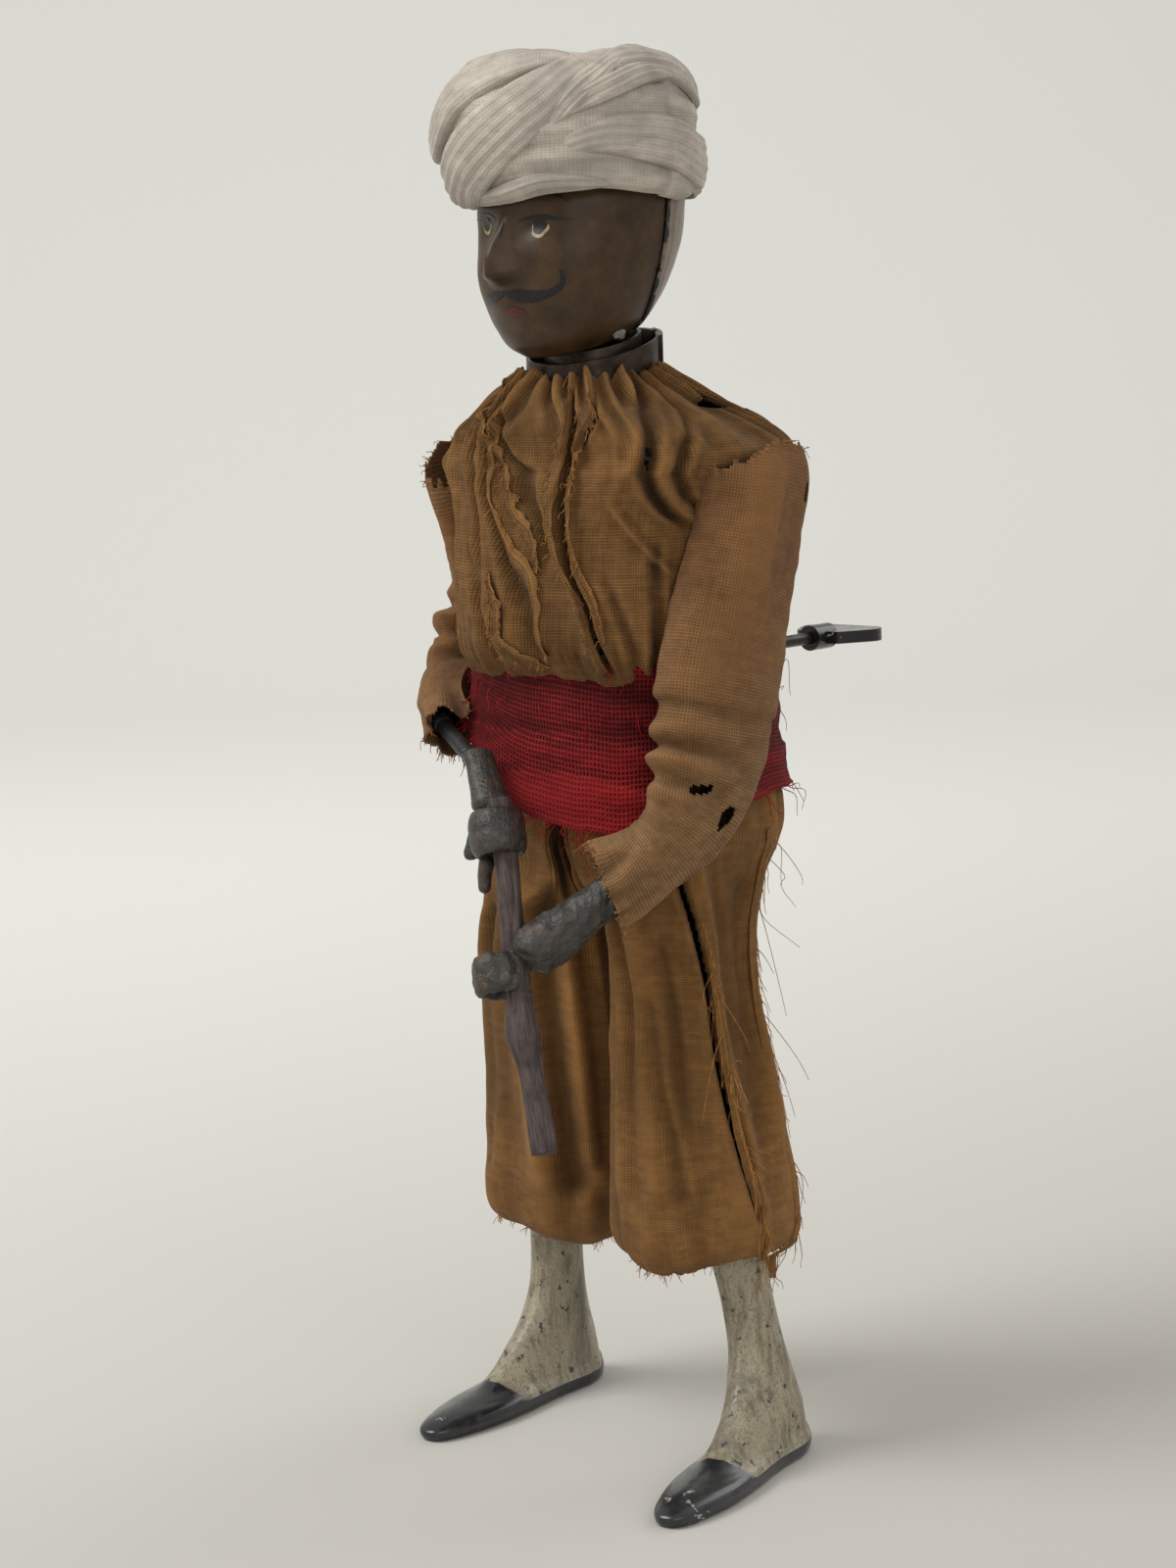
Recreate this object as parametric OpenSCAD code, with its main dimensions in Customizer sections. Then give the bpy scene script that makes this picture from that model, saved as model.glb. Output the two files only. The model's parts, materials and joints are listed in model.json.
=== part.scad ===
// Clockwork walking figure of tin, cast lead and cloth: a tin torso case with
// a spring motor, two swinging legs, and two arms that raise a staff.
// Millimetres. The figure faces -Y, its own left side is +X, and +Z is up.

/* [Figure] */
// Overall height, floor to turban top
figure_h = 205; // [203:0.5:210]
// Depth of the hip axis below the turban's top
hip_z = 107; // [105:0.5:109]
// Distance of each leg strip from the middle plane at the hip
hip_x = 13; // [12:0.25:13.5]
// Depth of the shoulder axle below the turban's top
shoulder_z = 59; // [58:0.5:60]
// How far the neck and head stand forward of the hip axis
neck_fwd = 6; // [4:0.5:6.5]

/* [Torso case] */
// Width of the tin case over its walls
case_w = 34; // [33:0.25:34.5]
// Depth of the tin case over its walls
case_d = 27; // [26.5:0.25:28]
// Corner radius of the case
case_r = 6; // [4:0.25:6.5]
// Thickness of the tin plate
tin_t = 0.5; // [0.3:0.05:0.6]
// Depth of the case's lower edge below the turban's top
case_z0 = 114; // [113:0.5:115]
// Depth of the case's upper edge below the turban's top
case_z1 = 56; // [55:0.5:56]
// Y of the seam between the two case shells
seam_y = 3; // [2:0.25:4]
// Radius of the neck tube
neck_r = 7; // [6:0.25:7.5]
// Height of the neck above the case
neck_h = 6; // [5:0.5:7]
// Outer radius of the tin collar
collar_r = 9.6; // [9:0.1:9.8]
// Height of the collar band
collar_h = 6.5; // [5:0.5:7]

/* [Head] */
// Half width of the head
head_a = 13.5; // [12.5:0.25:14]
// Half depth of the head
head_b = 15; // [14:0.25:15.5]
// Depth of the chin below the turban's top
chin_z = 46; // [45:0.25:46.5]
// Height of the pressed head, chin to crown
head_h = 31; // [30:0.5:32]
// Turn of the head to its own right, in degrees
head_turn = 10; // [0:1:15]
// Half width of the turban
turban_r = 20; // [19:0.5:21]
// Height of the turban's roll
turban_h = 22; // [20:0.5:23]
// Radius of the cap at its brim
cap_r = 14.2; // [13.5:0.1:14.6]

/* [Motor] */
// Thickness of each motor plate
plate_t = 0.8; // [0.6:0.05:0.9]
// Clear distance between the two motor plates
plate_gap = 12; // [11.5:0.25:12.5]
// Depth of the winding arbor below the turban's top
arbor_z = 90; // [89:0.25:91]
// Module of the gear teeth
gear_m = 0.6; // [0.55:0.01:0.62]
// Teeth of the great wheel
great_n = 40; // [40:1:40]
// Teeth of the second arbor's pinion
pinion_n = 10; // [10:1:10]
// Teeth of the second wheel
second_n = 30; // [30:1:30]
// Teeth of the fly arbor's pinion
fly_n = 9; // [9:1:9]
// Thickness of the gear wheels
wheel_t = 0.8; // [0.6:0.05:0.9]
// Radius of the winding arbor
arbor_r = 1.4; // [1.2:0.05:1.5]
// Radius of the thinner arbors' pivots
pivot_r = 0.6; // [0.5:0.05:0.7]
// Outer radius of the mainspring's coil
spring_r = 11; // [9:0.25:11.2]
// Turns of the mainspring
spring_turns = 5; // [4:1:6]
// Width of the mainspring's band
spring_w = 4.5; // [3.5:0.25:4.6]
// Thickness of the mainspring's band
spring_t = 0.4; // [0.3:0.05:0.5]
// Radius of the flywheel
fly_r = 4.5; // [4:0.1:4.7]
// Throw of the crank pin
crank_throw = 3; // [2.5:0.1:3.2]

/* [Key] */
// Radius of the key's shaft
key_r = 0.95; // [0.8:0.05:1.1]
// Y at which the key's handle starts
key_y = 47.5; // [44:0.5:50]
// Width of the key's handle
key_w = 14; // [12:0.5:16]
// Length of the key's handle
key_l = 10; // [9:0.5:11]
// Thickness of the key's handle
key_t = 1.9; // [1.5:0.1:2.2]

/* [Arms] */
// Radius of the shoulder axle
axle_r = 1.2; // [1:0.05:1.3]
// Distance of the arm strips outside the case's walls
arm_x = 5; // [4.9:0.1:5.4]
// Width of the arm strips
arm_w = 4.5; // [3.5:0.25:5]
// Thickness of the arm and leg strips
strip_t = 0.8; // [0.6:0.05:1]
// Length of the lever on the shoulder axle
lever_l = 11.6; // [11.4:0.1:11.8]
// Angle of that lever below the horizontal, at rest
lever_drop = 15; // [13:0.5:16]
// Radius of the wire rod that lifts the lever
rod_r = 0.5; // [0.4:0.05:0.55]
// Radius of the staff
staff_r = 1.8; // [1.5:0.05:2]
// Radius of each wrist
wrist_r = 2.4; // [2:0.1:2.6]

/* [Legs] */
// Width of each leg strip
leg_w = 5; // [4:0.25:5.5]
// Radius of the hip pin
hip_r = 1; // [0.8:0.05:1.1]
// Reach of each leg's lever tongue in front of the hip axis
tongue_l = 9.65; // [9.6:0.05:9.7]
// Length of the foot
foot_l = 40; // [38:0.5:42]
// Length of the foot behind the ankle
heel_l = 8; // [7:0.25:9]
// Width of the foot at its ball
foot_w = 10.5; // [9.5:0.25:11.5]
// Thickness of the slipper's sole
sole_t = 1.4; // [1:0.1:1.8]
// Radius of the shin
shin_r = 4.2; // [3.8:0.1:4.4]
// Distance of each ankle from the middle plane
ankle_x = 23.5; // [23:0.25:24]
// Step: each foot's distance before or behind their mean
step_y = 4.35; // [3:0.05:5]
// Mean position of the ankles behind the hip axis
ankle_y = 3.65; // [3:0.05:4.5]

/* [Cloth] */
// Thickness of the cotton shell
cloth_t = 1; // [0.8:0.05:1.1]
// Ease of the blouse over the case at each side
blouse_a = 3.4; // [3.3:0.05:3.5]
// Ease of the blouse over the case at the chest
blouse_b = 7; // [6.5:0.25:7.5]
// Ease of the blouse over the case at the rear
blouse_rear = 4.3; // [4.2:0.05:4.4]
// Ease of the sash over the case at each side
sash_a = 4.5; // [4.4:0.05:4.8]
// Ease of the sash over the case in front and behind
sash_b = 7.1; // [7:0.05:7.5]
// Depth of the sash's top edge below the turban's top
sash_z1 = 90.5; // [90:0.25:92]
// Height of the trouser hems above the floor
hem_z = 27; // [26:0.5:29]
// Radius, about the hip axis, at which the trouser legs part from the seat
seat_r = 20; // [19.6:0.1:20.2]
// Half width of a trouser leg where it is widest
trouser_a = 13; // [12.5:0.1:13.3]
// Half depth of a trouser leg where it is widest
trouser_b = 14.5; // [14:0.1:15]

/* [Fits] */
// Radial clearance of a turning shaft in its hole
run_gap = 0.05; // [0.03:0.01:0.08]
// Clearance between pieces that are fixed together
fix_gap = 0.02; // [0.01:0.01:0.04]
// Side clearance between parts that pass each other
pass_gap = 0.3; // [0.25:0.05:0.35]

/* [Hidden] */
$fn = 32;

// Heights above the floor
hip_level = figure_h - hip_z;
shoulder = figure_h - shoulder_z;
case_low = figure_h - case_z0;
case_top = figure_h - case_z1;
chin_level = figure_h - chin_z;
arbor_level = figure_h - arbor_z;
sash_top = figure_h - sash_z1;
// Distances from the middle planes
arm_plane = case_w / 2 + arm_x;
blouse_half = case_w / 2 + blouse_a;
blouse_front = case_d / 2 + blouse_b;
blouse_back = case_d / 2 + blouse_rear;
sash_half = case_w / 2 + sash_a;
sash_deep = case_d / 2 + sash_b;

// Points of the arms, found from the figure's pose
left_elbow = [arm_plane + 4, -9, shoulder - 46];
left_wrist = [14.9, -23, shoulder - 59.5];
left_ring = [3.1, -33.4, shoulder - 70.8];
right_elbow = [-arm_plane - 6, -6, shoulder - 32];
right_bow = [-19.5, -19.5, shoulder - 38];
right_wrist = [-7, -25, shoulder - 43.4];
right_ring = [-1, -28.5, shoulder - 51.6];
staff_top = [-2, -27.5, shoulder - 47];
staff_end = [13.5, -38.5, shoulder - 94];

// The whole figure moves in Y so that the middle of its depth lies at the origin
key_end_y = key_y + key_l;
frame_y = -(key_end_y + staff_end[1] - staff_r) / 2;

plate_out = plate_gap / 2 + plate_t;
plate_z0 = arbor_level - 14;
plate_z1 = shoulder - 5.5;
plate_half = 15;
great_pr = great_n * gear_m / 2;
pinion_pr = pinion_n * gear_m / 2;
second_pr = second_n * gear_m / 2;
fly_pr = fly_n * gear_m / 2;
mesh_angle = 24;
second_z = arbor_level + great_pr + pinion_pr;
fly_x = (second_pr + fly_pr) * cos(mesh_angle);
fly_z = second_z + (second_pr + fly_pr) * sin(mesh_angle);
// Planes of the motor's wheels, each the face nearest the back
great_y = -0.9;
second_y = great_y - wheel_t - 1.8;
disc_y = -plate_out - 0.6;
disc_t = 0.8;
pin_l = 0.8;
pin_y = disc_y - disc_t;
beam_y = pin_y - pin_l - pass_gap;
beam_t = 0.7;
beam_z = hip_level + 2;
beam_stud_r = 1;
slot_half = 0.85;
crank_pin_r = 0.6;
rod_y = -lever_l * cos(lever_drop);
rod_top_z = shoulder - lever_l * sin(lever_drop);
rod_x = strip_t / 2 + pass_gap + rod_r + 0.2;
head_y = -neck_fwd - 2;
turban_y = head_y;
neck_z = case_top + neck_h;
sleeve_x = blouse_half + pass_gap;
staff_dir = (left_ring - right_ring) / norm(left_ring - right_ring);

function mix(a, b, t) = a + (b - a) * t;
function power(v, e) = sign(v) * pow(abs(v), 2 / e);
// One ring of a shell: half sizes a and b, exponent e, and folds that only stand outwards
function ring(x, y, z, a, b, e, n, folds, depth, phase) = [for (k = [0:n - 1])
  let (t = 360 * k / n, f = depth * (1 + sin(folds * t + phase)) / 2)
  [x + (a + f) * power(cos(t), e), y + (b + f) * power(sin(t), e), z]];
// One ring of a tube round point p, square to direction d
function tube_ring(p, d, rx, ry, n, folds, depth, phase) =
  let (u = cross([0, 1, 0], d), s = u / norm(u), v = cross(d, s) / norm(d))
  [for (k = [0:n - 1]) let (t = 360 * k / n, f = depth * (1 + sin(folds * t + phase)) / 2)
    p + s * (rx + f) * cos(t) + v * (ry + f) * sin(t)];
function step_dir(p, i) = p[min(i + 1, len(p) - 1)] - p[max(i - 1, 0)];
// Faces between rings a and b of n points, the first point's number given
function band(a, b, n) = [for (k = [0:n - 1]) let (j = (k + 1) % n)
  each [[a + k, b + k, a + j], [a + j, b + k, b + j]]];

// A closed wall between outer and inner rings, joined at both rims
module wall(outer, inner) {
  m = len(outer);
  n = len(outer[0]);
  polyhedron([for (r = outer) each r, for (r = inner) each r], concat(
    [for (i = [0:m - 2]) each band(i * n, (i + 1) * n, n)],
    [for (i = [0:m - 2]) each band((m + i + 1) * n, (m + i) * n, n)],
    band(m * n, 0, n), band((m - 1) * n, (2 * m - 1) * n, n)));
}

// A solid through rings of n points, closed by a fan at each end
module loft(rings) {
  m = len(rings);
  n = len(rings[0]);
  polyhedron([for (r = rings) each r], concat(
    [for (i = [0:m - 2]) each band(i * n, (i + 1) * n, n)],
    [for (k = [1:n - 2]) [0, k, k + 1]],
    [for (k = [1:n - 2]) [(m - 1) * n, (m - 1) * n + k + 1, (m - 1) * n + k]]));
}

// Everything is placed in the part's frame through this one shift
module place() {
  translate([0, frame_y, 0]) children();
}

// A cylinder along Y from y0 towards the front, and one along X
module y_rod(x, z, y0, l, r) {
  translate([x, y0, z]) rotate([90, 0, 0]) cylinder(r = r, h = l);
}

module x_rod(x0, y, z, l, r) {
  translate([x0, y, z]) rotate([0, 90, 0]) cylinder(r = r, h = l);
}

// A rod from point a to point b
module rod(a, b, r) {
  d = b - a;
  translate(a) rotate([0, acos(d[2] / norm(d)), atan2(d[1], d[0])]) cylinder(r = r, h = norm(d));
}

// A flat bar from point a to point b, of thickness t along X as nearly as its direction lets it
module bar(a, b, w, t) {
  d = (b - a) / norm(b - a);
  s = cross([1, 0, 0], d) / norm(cross([1, 0, 0], d));
  n = cross(s, d);
  multmatrix([[n[0], s[0], d[0], a[0]], [n[1], s[1], d[1], a[1]], [n[2], s[2], d[2], a[2]]])
    translate([-t / 2, -w / 2, 0]) cube([t, w, norm(b - a)]);
}

module rounded_rect(w, d, r) {
  square([w - 2 * r, d], center = true);
  square([w, d - 2 * r], center = true);
  for (x = [-1, 1], y = [-1, 1]) translate([x * (w / 2 - r), y * (d / 2 - r)]) circle(r = r);
}

// Wall of the torso case, with the holes for the hip pin, the axle and the key
module case_wall() {
  difference() {
    translate([0, 0, case_low]) linear_extrude(case_top - case_low) difference() {
      rounded_rect(case_w, case_d, case_r);
      rounded_rect(case_w - 2 * tin_t, case_d - 2 * tin_t, case_r - tin_t);
    }
    x_rod(-case_w, 0, hip_level, 2 * case_w, hip_r + fix_gap);
    x_rod(-case_w, 0, shoulder, 2 * case_w, axle_r + run_gap);
    y_rod(0, arbor_level, case_d, case_d, arbor_r + 0.6);
  }
}

module half_space(front) {
  reach = 4 * case_w;
  translate([-reach / 2, front ? seam_y - reach : seam_y, 0]) cube([reach, reach, figure_h]);
}

module torso_front() {
  color("dimgray") place() intersection() {
    case_wall();
    half_space(true);
  }
}

module torso_back() {
  color("dimgray") place() intersection() {
    case_wall();
    half_space(false);
  }
}

// One closed slope from the case's top edge to the neck, less the wall thickness t
module shoulder_slope(t) {
  hull() {
    translate([0, 0, case_top]) linear_extrude(0.01) rounded_rect(case_w - 2 * t, case_d - 2 * t, case_r - t);
    translate([0, -neck_fwd, neck_z - t]) cylinder(r = neck_r + 0.4 - t, h = 0.01);
  }
}

module shoulder_plate() {
  color("dimgray") place() difference() {
    shoulder_slope(0);
    shoulder_slope(tin_t);
    translate([0, -neck_fwd, case_top]) cylinder(r = neck_r - 1, h = 2 * neck_h);
    translate([0, 0, case_top - 0.01]) linear_extrude(0.02)
      rounded_rect(case_w - 2 * tin_t, case_d - 2 * tin_t, case_r - tin_t);
  }
}

// All that lies above the slanting plane of the jaw's edge, lowered by drop
module above_jaw(drop) {
  reach = 2 * case_w;
  translate([0, head_y - head_b, chin_level - drop]) rotate([atan(jaw_rise), 0, 0])
    translate([-reach, -reach, 0]) cube([2 * reach, 3 * reach, reach]);
}

module neck_tube() {
  color("dimgray") place() difference() {
    translate([0, -neck_fwd, neck_z + 0.01]) cylinder(r = neck_r, h = 2 * neck_h + 4);
    translate([0, -neck_fwd, neck_z - 1]) cylinder(r = neck_r - tin_t, h = 3 * neck_h);
    above_jaw(pass_gap);
  }
}

// The collar is an open band whose end laps outside its start at the back left
module neck_collar() {
  lap = 18;
  color("#6b625c") place() difference() {
    translate([0, -neck_fwd, neck_z - 0.2]) {
      rotate([0, 0, 60]) rotate_extrude(angle = 350)
        translate([collar_r - tin_t, 0]) square([tin_t, 1.6 * collar_h]);
      rotate([0, 0, 50 - lap]) rotate_extrude(angle = 2 * lap)
        translate([collar_r - fix_gap, 0]) square([tin_t, 1.6 * collar_h]);
      difference() {
        translate([0, 0, 0.4]) cylinder(r = collar_r - tin_t / 2, h = tin_t);
        cylinder(r = neck_r + fix_gap, h = collar_h);
      }
    }
    above_jaw(7.7 - collar_h);
  }
}

// Head shell: chin, jaw, cheeks, brow and crown, as share of the height and of the half sizes
head_rows = [[0, 0.52, 0.5, -1.5], [0.06, 0.68, 0.68, -1.2], [0.16, 0.82, 0.84, -0.8],
  [0.3, 0.92, 0.95, -0.4],
  [0.45, 0.98, 1, 0], [0.62, 1, 1, 0], [0.78, 0.98, 0.96, 0.2], [0.9, 0.86, 0.84, 0.3], [1, 0.6, 0.6, 0.4]];
head_sides = 32;

// The jaw rises towards the back, and the rows level out towards the crown
jaw_rise = 0.25;
function head_ring(row, t) = [for (p = ring(0, row[3], chin_level + row[0] * head_h, head_a * row[1] - t,
  head_b * row[2] - t, 2.2, head_sides, 0, 0, 0)) p + [0, 0, (1 - row[0]) * jaw_rise * (p[1] + head_b)]];

module head_shell() {
  translate([0, head_y, 0]) rotate([0, 0, -head_turn]) difference() {
    wall([for (row = head_rows) head_ring(row, 0)], [for (row = head_rows) head_ring(row, tin_t)]);
    children();
  }
}

// The face wraps most of the head; the seam leans back towards the crown
module head_cut(keep_back) {
  reach = 3 * head_b;
  translate([0, 4.9, chin_level + head_h / 2]) rotate([6, 0, 0])
    translate([-reach, keep_back ? -2 * reach : 0, -reach]) cube([2 * reach, 2 * reach, 2 * reach]);
}

module face_shell() {
  color("#3a2118") place() {
    head_shell() head_cut(false);
    translate([0, head_y, 0]) rotate([0, 0, -head_turn])
      translate([0, -head_b + 0.3, chin_level + 0.4 * head_h]) hull() {
        translate([0, 0, 5]) sphere(r = 0.8, $fn = 16);
        translate([0, -1.4, 0]) sphere(r = 1.7, $fn = 16);
        translate([0, 0, -0.5]) sphere(r = 1.9, $fn = 16);
      }
  }
}

module head_back() {
  color("#5a3a28") place() head_shell() head_cut(true);
}

module fez_cap() {
  brim_z = chin_level + 0.9 * head_h;
  top_r = cap_r - 2.2;
  color("firebrick") place() translate([0, turban_y, 0]) difference() {
    translate([0, 0, brim_z]) cylinder(r1 = cap_r, r2 = top_r, h = cap_top_z - brim_z);
    translate([0, 0, brim_z - 0.01])
      cylinder(r1 = cap_r - 0.6, r2 = top_r - 0.6, h = cap_top_z - brim_z - 0.8);
  }
}

// The turban's section, as radius and height above its lower edge: out over the roll, in over
// the cap's top, and back down beside the cap
turban_sides = 40;
turban_folds = 7;
cap_top_z = figure_h - 3;
turban_z = figure_h - turban_h;
cap_high = cap_top_z - turban_z;
turban_section = [[cap_r + 1.3, 0.3], [turban_r - 3, 0], [turban_r - 0.8, 2.5], [turban_r, 7], [turban_r, 12],
  [turban_r - 1, 16.5], [turban_r - 3.4, turban_h - 2.2], [turban_r - 8, turban_h - 0.5], [8, turban_h - 0.6],
  [4.5, cap_high + 1.6], [4.5, cap_high + 0.3], [cap_r - 2, cap_high + 0.3], [cap_r - 1.4, cap_high - 1],
  [cap_r + 0.8, 4.5]];
turban_loose = [0.1, 0.5, 0.8, 1, 1, 1, 0.9, 0.7, 0.5, 0.2, 0, 0, 0, 0];
function turban_point(j, k) = let (u = 360 * k / turban_sides, p = turban_section[j],
    fold = turban_loose[j] * (0.55 * sin(turban_folds * u + 40 * j) + 0.35 * sin(3 * u - 30 * j) - 0.3))
  [(p[0] + fold) * cos(u), (p[0] + fold) * sin(u), turban_z + p[1] + (j > 4 && j < 9 ? fold : 0)];

module turban() {
  n = turban_sides;
  m = len(turban_section);
  color("oldlace") place() translate([0, turban_y, 0]) polyhedron(
    [for (j = [0:m - 1], k = [0:n - 1]) turban_point(j, k)],
    [for (j = [0:m - 1]) each band(j * n, ((j + 1) % m) * n, n)]);
}

// Involute gear outline. The flanks run from the base circle to the tip circle.
pressure_angle = 20;
backlash = 0.1;
flank_steps = 3;
function involute(a) = tan(a) * 180 / PI - a;
function half_tooth(n, m, r) = let (rp = n * m / 2, rb = rp * cos(pressure_angle))
  90 / n - backlash / 2 / rp * 180 / PI + involute(pressure_angle) - involute(acos(min(1, rb / r)));
function gear_points(n, m, add, ded) = let (rp = n * m / 2, rb = rp * cos(pressure_angle), ro = rp + add,
    rr = rp - ded, r0 = max(rb, rr), a0 = half_tooth(n, m, r0),
    flank = [for (i = [0:flank_steps]) let (r = mix(r0, ro, i / flank_steps)) [r, half_tooth(n, m, r)]])
  [for (k = [0:n - 1]) let (c = 360 * k / n)
    each concat([rr * [cos(c - a0), sin(c - a0)]],
      [for (p = flank) p[0] * [cos(c - p[1]), sin(c - p[1])]],
      [for (i = [flank_steps:-1:0]) let (p = flank[i]) p[0] * [cos(c + p[1]), sin(c + p[1])]],
      [rr * [cos(c + a0), sin(c + a0)]])];

wheel_add = 0.58 * gear_m;
pinion_add = 0.9 * gear_m;
gear_ded = 1.2 * gear_m;

// A toothed wheel on a bore, its back face at y0
module toothed(x, z, y0, t, n, add, bore, turn = 0) {
  translate([x, y0, z]) rotate([90, 0, 0]) linear_extrude(t) difference() {
    rotate(turn) polygon(gear_points(n, gear_m, add, gear_ded));
    circle(r = bore);
  }
}

// Both motor plates have bearing holes for the three arbors
module plate_shape(front) {
  tab = case_w / 2 - tin_t - fix_gap;
  difference() {
    union() {
      translate([-plate_half, plate_z0]) square([2 * plate_half, plate_z1 - plate_z0]);
      for (z = [plate_z0 + 5, plate_z1 - 9]) translate([-tab, z]) square([2 * tab, 4]);
      if (front) translate([-3, beam_z - 3]) square([6, plate_z0 - beam_z + 3.5]);
    }
    translate([0, arbor_level]) circle(r = arbor_r + run_gap);
    translate([0, second_z]) circle(r = pivot_r + run_gap);
    translate([fly_x, fly_z]) circle(r = pivot_r + run_gap);
    for (p = pillar_places) translate(p) circle(r = pillar_r - 0.5 + fix_gap);
    if (front) translate([0, beam_z]) circle(r = beam_stud_r + fix_gap);
  }
}

pillar_r = 1.3;
pillar_places = [[plate_half - 1.8, plate_z0 + 1.8], [1.8 - plate_half, plate_z0 + 1.8],
  [1.8 - plate_half, plate_z1 - 1.8], [plate_half - 1.8, plate_z0 + 23]];

module motor_front_plate() {
  color("darkgoldenrod") place() translate([0, -plate_gap / 2, 0]) rotate([90, 0, 0])
    linear_extrude(plate_t) plate_shape(true);
}

module motor_back_plate() {
  color("darkgoldenrod") place() translate([0, plate_out, 0]) rotate([90, 0, 0])
    linear_extrude(plate_t) plate_shape(false);
}

module plate_pillars() {
  color("goldenrod") place() for (p = pillar_places) {
    y_rod(p[0], p[1], plate_gap / 2, plate_gap, pillar_r);
    y_rod(p[0], p[1], plate_out + 1, 2 * plate_out + 2, pillar_r - 0.5);
  }
}

module pillar_nuts() {
  color("silver") place() for (p = pillar_places, side = [-1, 1]) difference() {
    y_rod(p[0], p[1], side > 0 ? plate_out + 0.9 : -plate_out, 0.9, pillar_r + 0.3, $fn = 6);
    y_rod(p[0], p[1], plate_out + 2, 2 * plate_out + 4, pillar_r - 0.5 + fix_gap);
  }
}

// Spiral band from the arbor's clearance out to its anchored end
spring_in = arbor_r + 0.5;
spring_points = 18;
function spiral(a, extra) = let (r = mix(spring_in, spring_r - spring_t, a / (360 * spring_turns)) + extra)
  r * [cos(a), sin(a)];
module mainspring() {
  last = spring_turns * spring_points;
  step = 360 / spring_points;
  color("steelblue") place() translate([0, plate_gap / 2 - 0.7, arbor_level]) rotate([90, 0, 0]) {
    linear_extrude(spring_w) polygon(concat([for (i = [0:last]) spiral(i * step, 0)],
      [for (i = [last:-1:0]) spiral(i * step, spring_t)]));
  }
}

module key_handle() {
  boss = 2;
  corner = 3.2;
  color("#1a1a1a") place() difference() {
    union() {
      translate([0, 0, arbor_level - key_t / 2]) linear_extrude(key_t) hull() {
        for (x = [-1, 1]) translate([x * (key_w / 2 - corner), key_y + key_l - corner]) circle(r = corner);
        for (x = [-1, 1]) translate([x * (key_w / 2 - 4), key_y + 1.5]) circle(r = 1.5);
      }
      y_rod(0, arbor_level, key_y + 3, 5, boss);
    }
    y_rod(0, arbor_level, key_y + 1, 10, key_r + fix_gap);
  }
}

module winding_arbor() {
  inner_end = plate_out + 1.2;
  color("#2b2b2b") place() {
    y_rod(0, arbor_level, key_y + 0.9, key_y + 0.9 - inner_end, key_r);
    y_rod(0, arbor_level, inner_end, 2 * plate_out + 1.6, arbor_r);
  }
}

ratchet_n = 12;
ratchet_r = 5;
ratchet_t = 0.8;
ratchet_y = great_y + ratchet_t + 0.1;
module ratchet_wheel() {
  color("silver") place() translate([0, ratchet_y, arbor_level]) rotate([90, 0, 0]) linear_extrude(ratchet_t)
    difference() {
      polygon([for (k = [0:ratchet_n - 1]) let (a = 360 * k / ratchet_n)
        each [ratchet_r * [cos(a), sin(a)], (ratchet_r - 1) * [cos(a), sin(a)]]]);
      circle(r = arbor_r + fix_gap);
    }
}

module great_wheel() {
  color("goldenrod") place() difference() {
    toothed(0, arbor_level, great_y, wheel_t, great_n, wheel_add, arbor_r + run_gap);
    y_rod(click_at[0], click_at[1], great_y + 1, 4, click_r + fix_gap);
  }
}

// The click turns on a stud in the great wheel and drops into the ratchet's teeth
click_r = 0.6;
click_at = [ratchet_r + 3.2, arbor_level];
click_t = 0.7;
module click() {
  tip = [ratchet_r + 0.25, arbor_level - 1.2];
  color("gray") place() {
    y_rod(click_at[0], click_at[1], ratchet_y, click_t + 0.1 + wheel_t, click_r);
    translate([0, ratchet_y, 0]) rotate([90, 0, 0]) linear_extrude(click_t) hull() {
      translate(click_at) circle(r = 1.2);
      translate(tip) circle(r = 0.2);
    }
  }
}

module click_spring() {
  color("silver") place() translate([0, ratchet_y, 0]) rotate([90, 0, 0]) linear_extrude(click_t - 0.1)
    translate(click_at) difference() {
      circle(r = 1.7);
      circle(r = 1.4);
      translate([-4, -2]) square([4, 4]);
    }
}

module second_arbor() {
  color("silver") place() y_rod(0, second_z, plate_out + 0.4, plate_out + 0.4 - disc_y, pivot_r);
}

module second_pinion() {
  color("goldenrod") place()
    toothed(0, second_z, great_y + 0.4, wheel_t + 1, pinion_n, pinion_add, pivot_r + fix_gap);
}

module second_wheel() {
  color("goldenrod") place()
    toothed(0, second_z, second_y, wheel_t, second_n, wheel_add, pivot_r + fix_gap);
}

module crank_disc() {
  color("silver") place() difference() {
    y_rod(0, second_z, disc_y, disc_t, crank_throw + 1.6);
    y_rod(0, second_z - crank_throw, disc_y + 1, 3, crank_pin_r + fix_gap);
  }
}

module crank_pin() {
  color("gray") place() y_rod(0, second_z - crank_throw, disc_y, disc_t + pin_l, crank_pin_r);
}

module fly_arbor() {
  color("silver") place() y_rod(fly_x, fly_z, plate_out + 0.4, 2 * plate_out + 0.8, pivot_r);
}

module fly_pinion() {
  color("goldenrod") place()
    toothed(fly_x, fly_z, second_y + 0.6, wheel_t + 1.2, fly_n, pinion_add, pivot_r + fix_gap, mesh_angle);
}

module flywheel() {
  fly_t = 4;
  color("goldenrod") place() difference() {
    y_rod(fly_x, fly_z, plate_gap / 2 - 1.5, fly_t, fly_r);
    y_rod(fly_x, fly_z, plate_gap / 2, plate_gap, pivot_r + fix_gap);
  }
}

module shoulder_axle() {
  color("gray") place() x_rod(-arm_plane - strip_t / 2, 0, shoulder, 2 * arm_plane + strip_t, axle_r);
}

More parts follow.
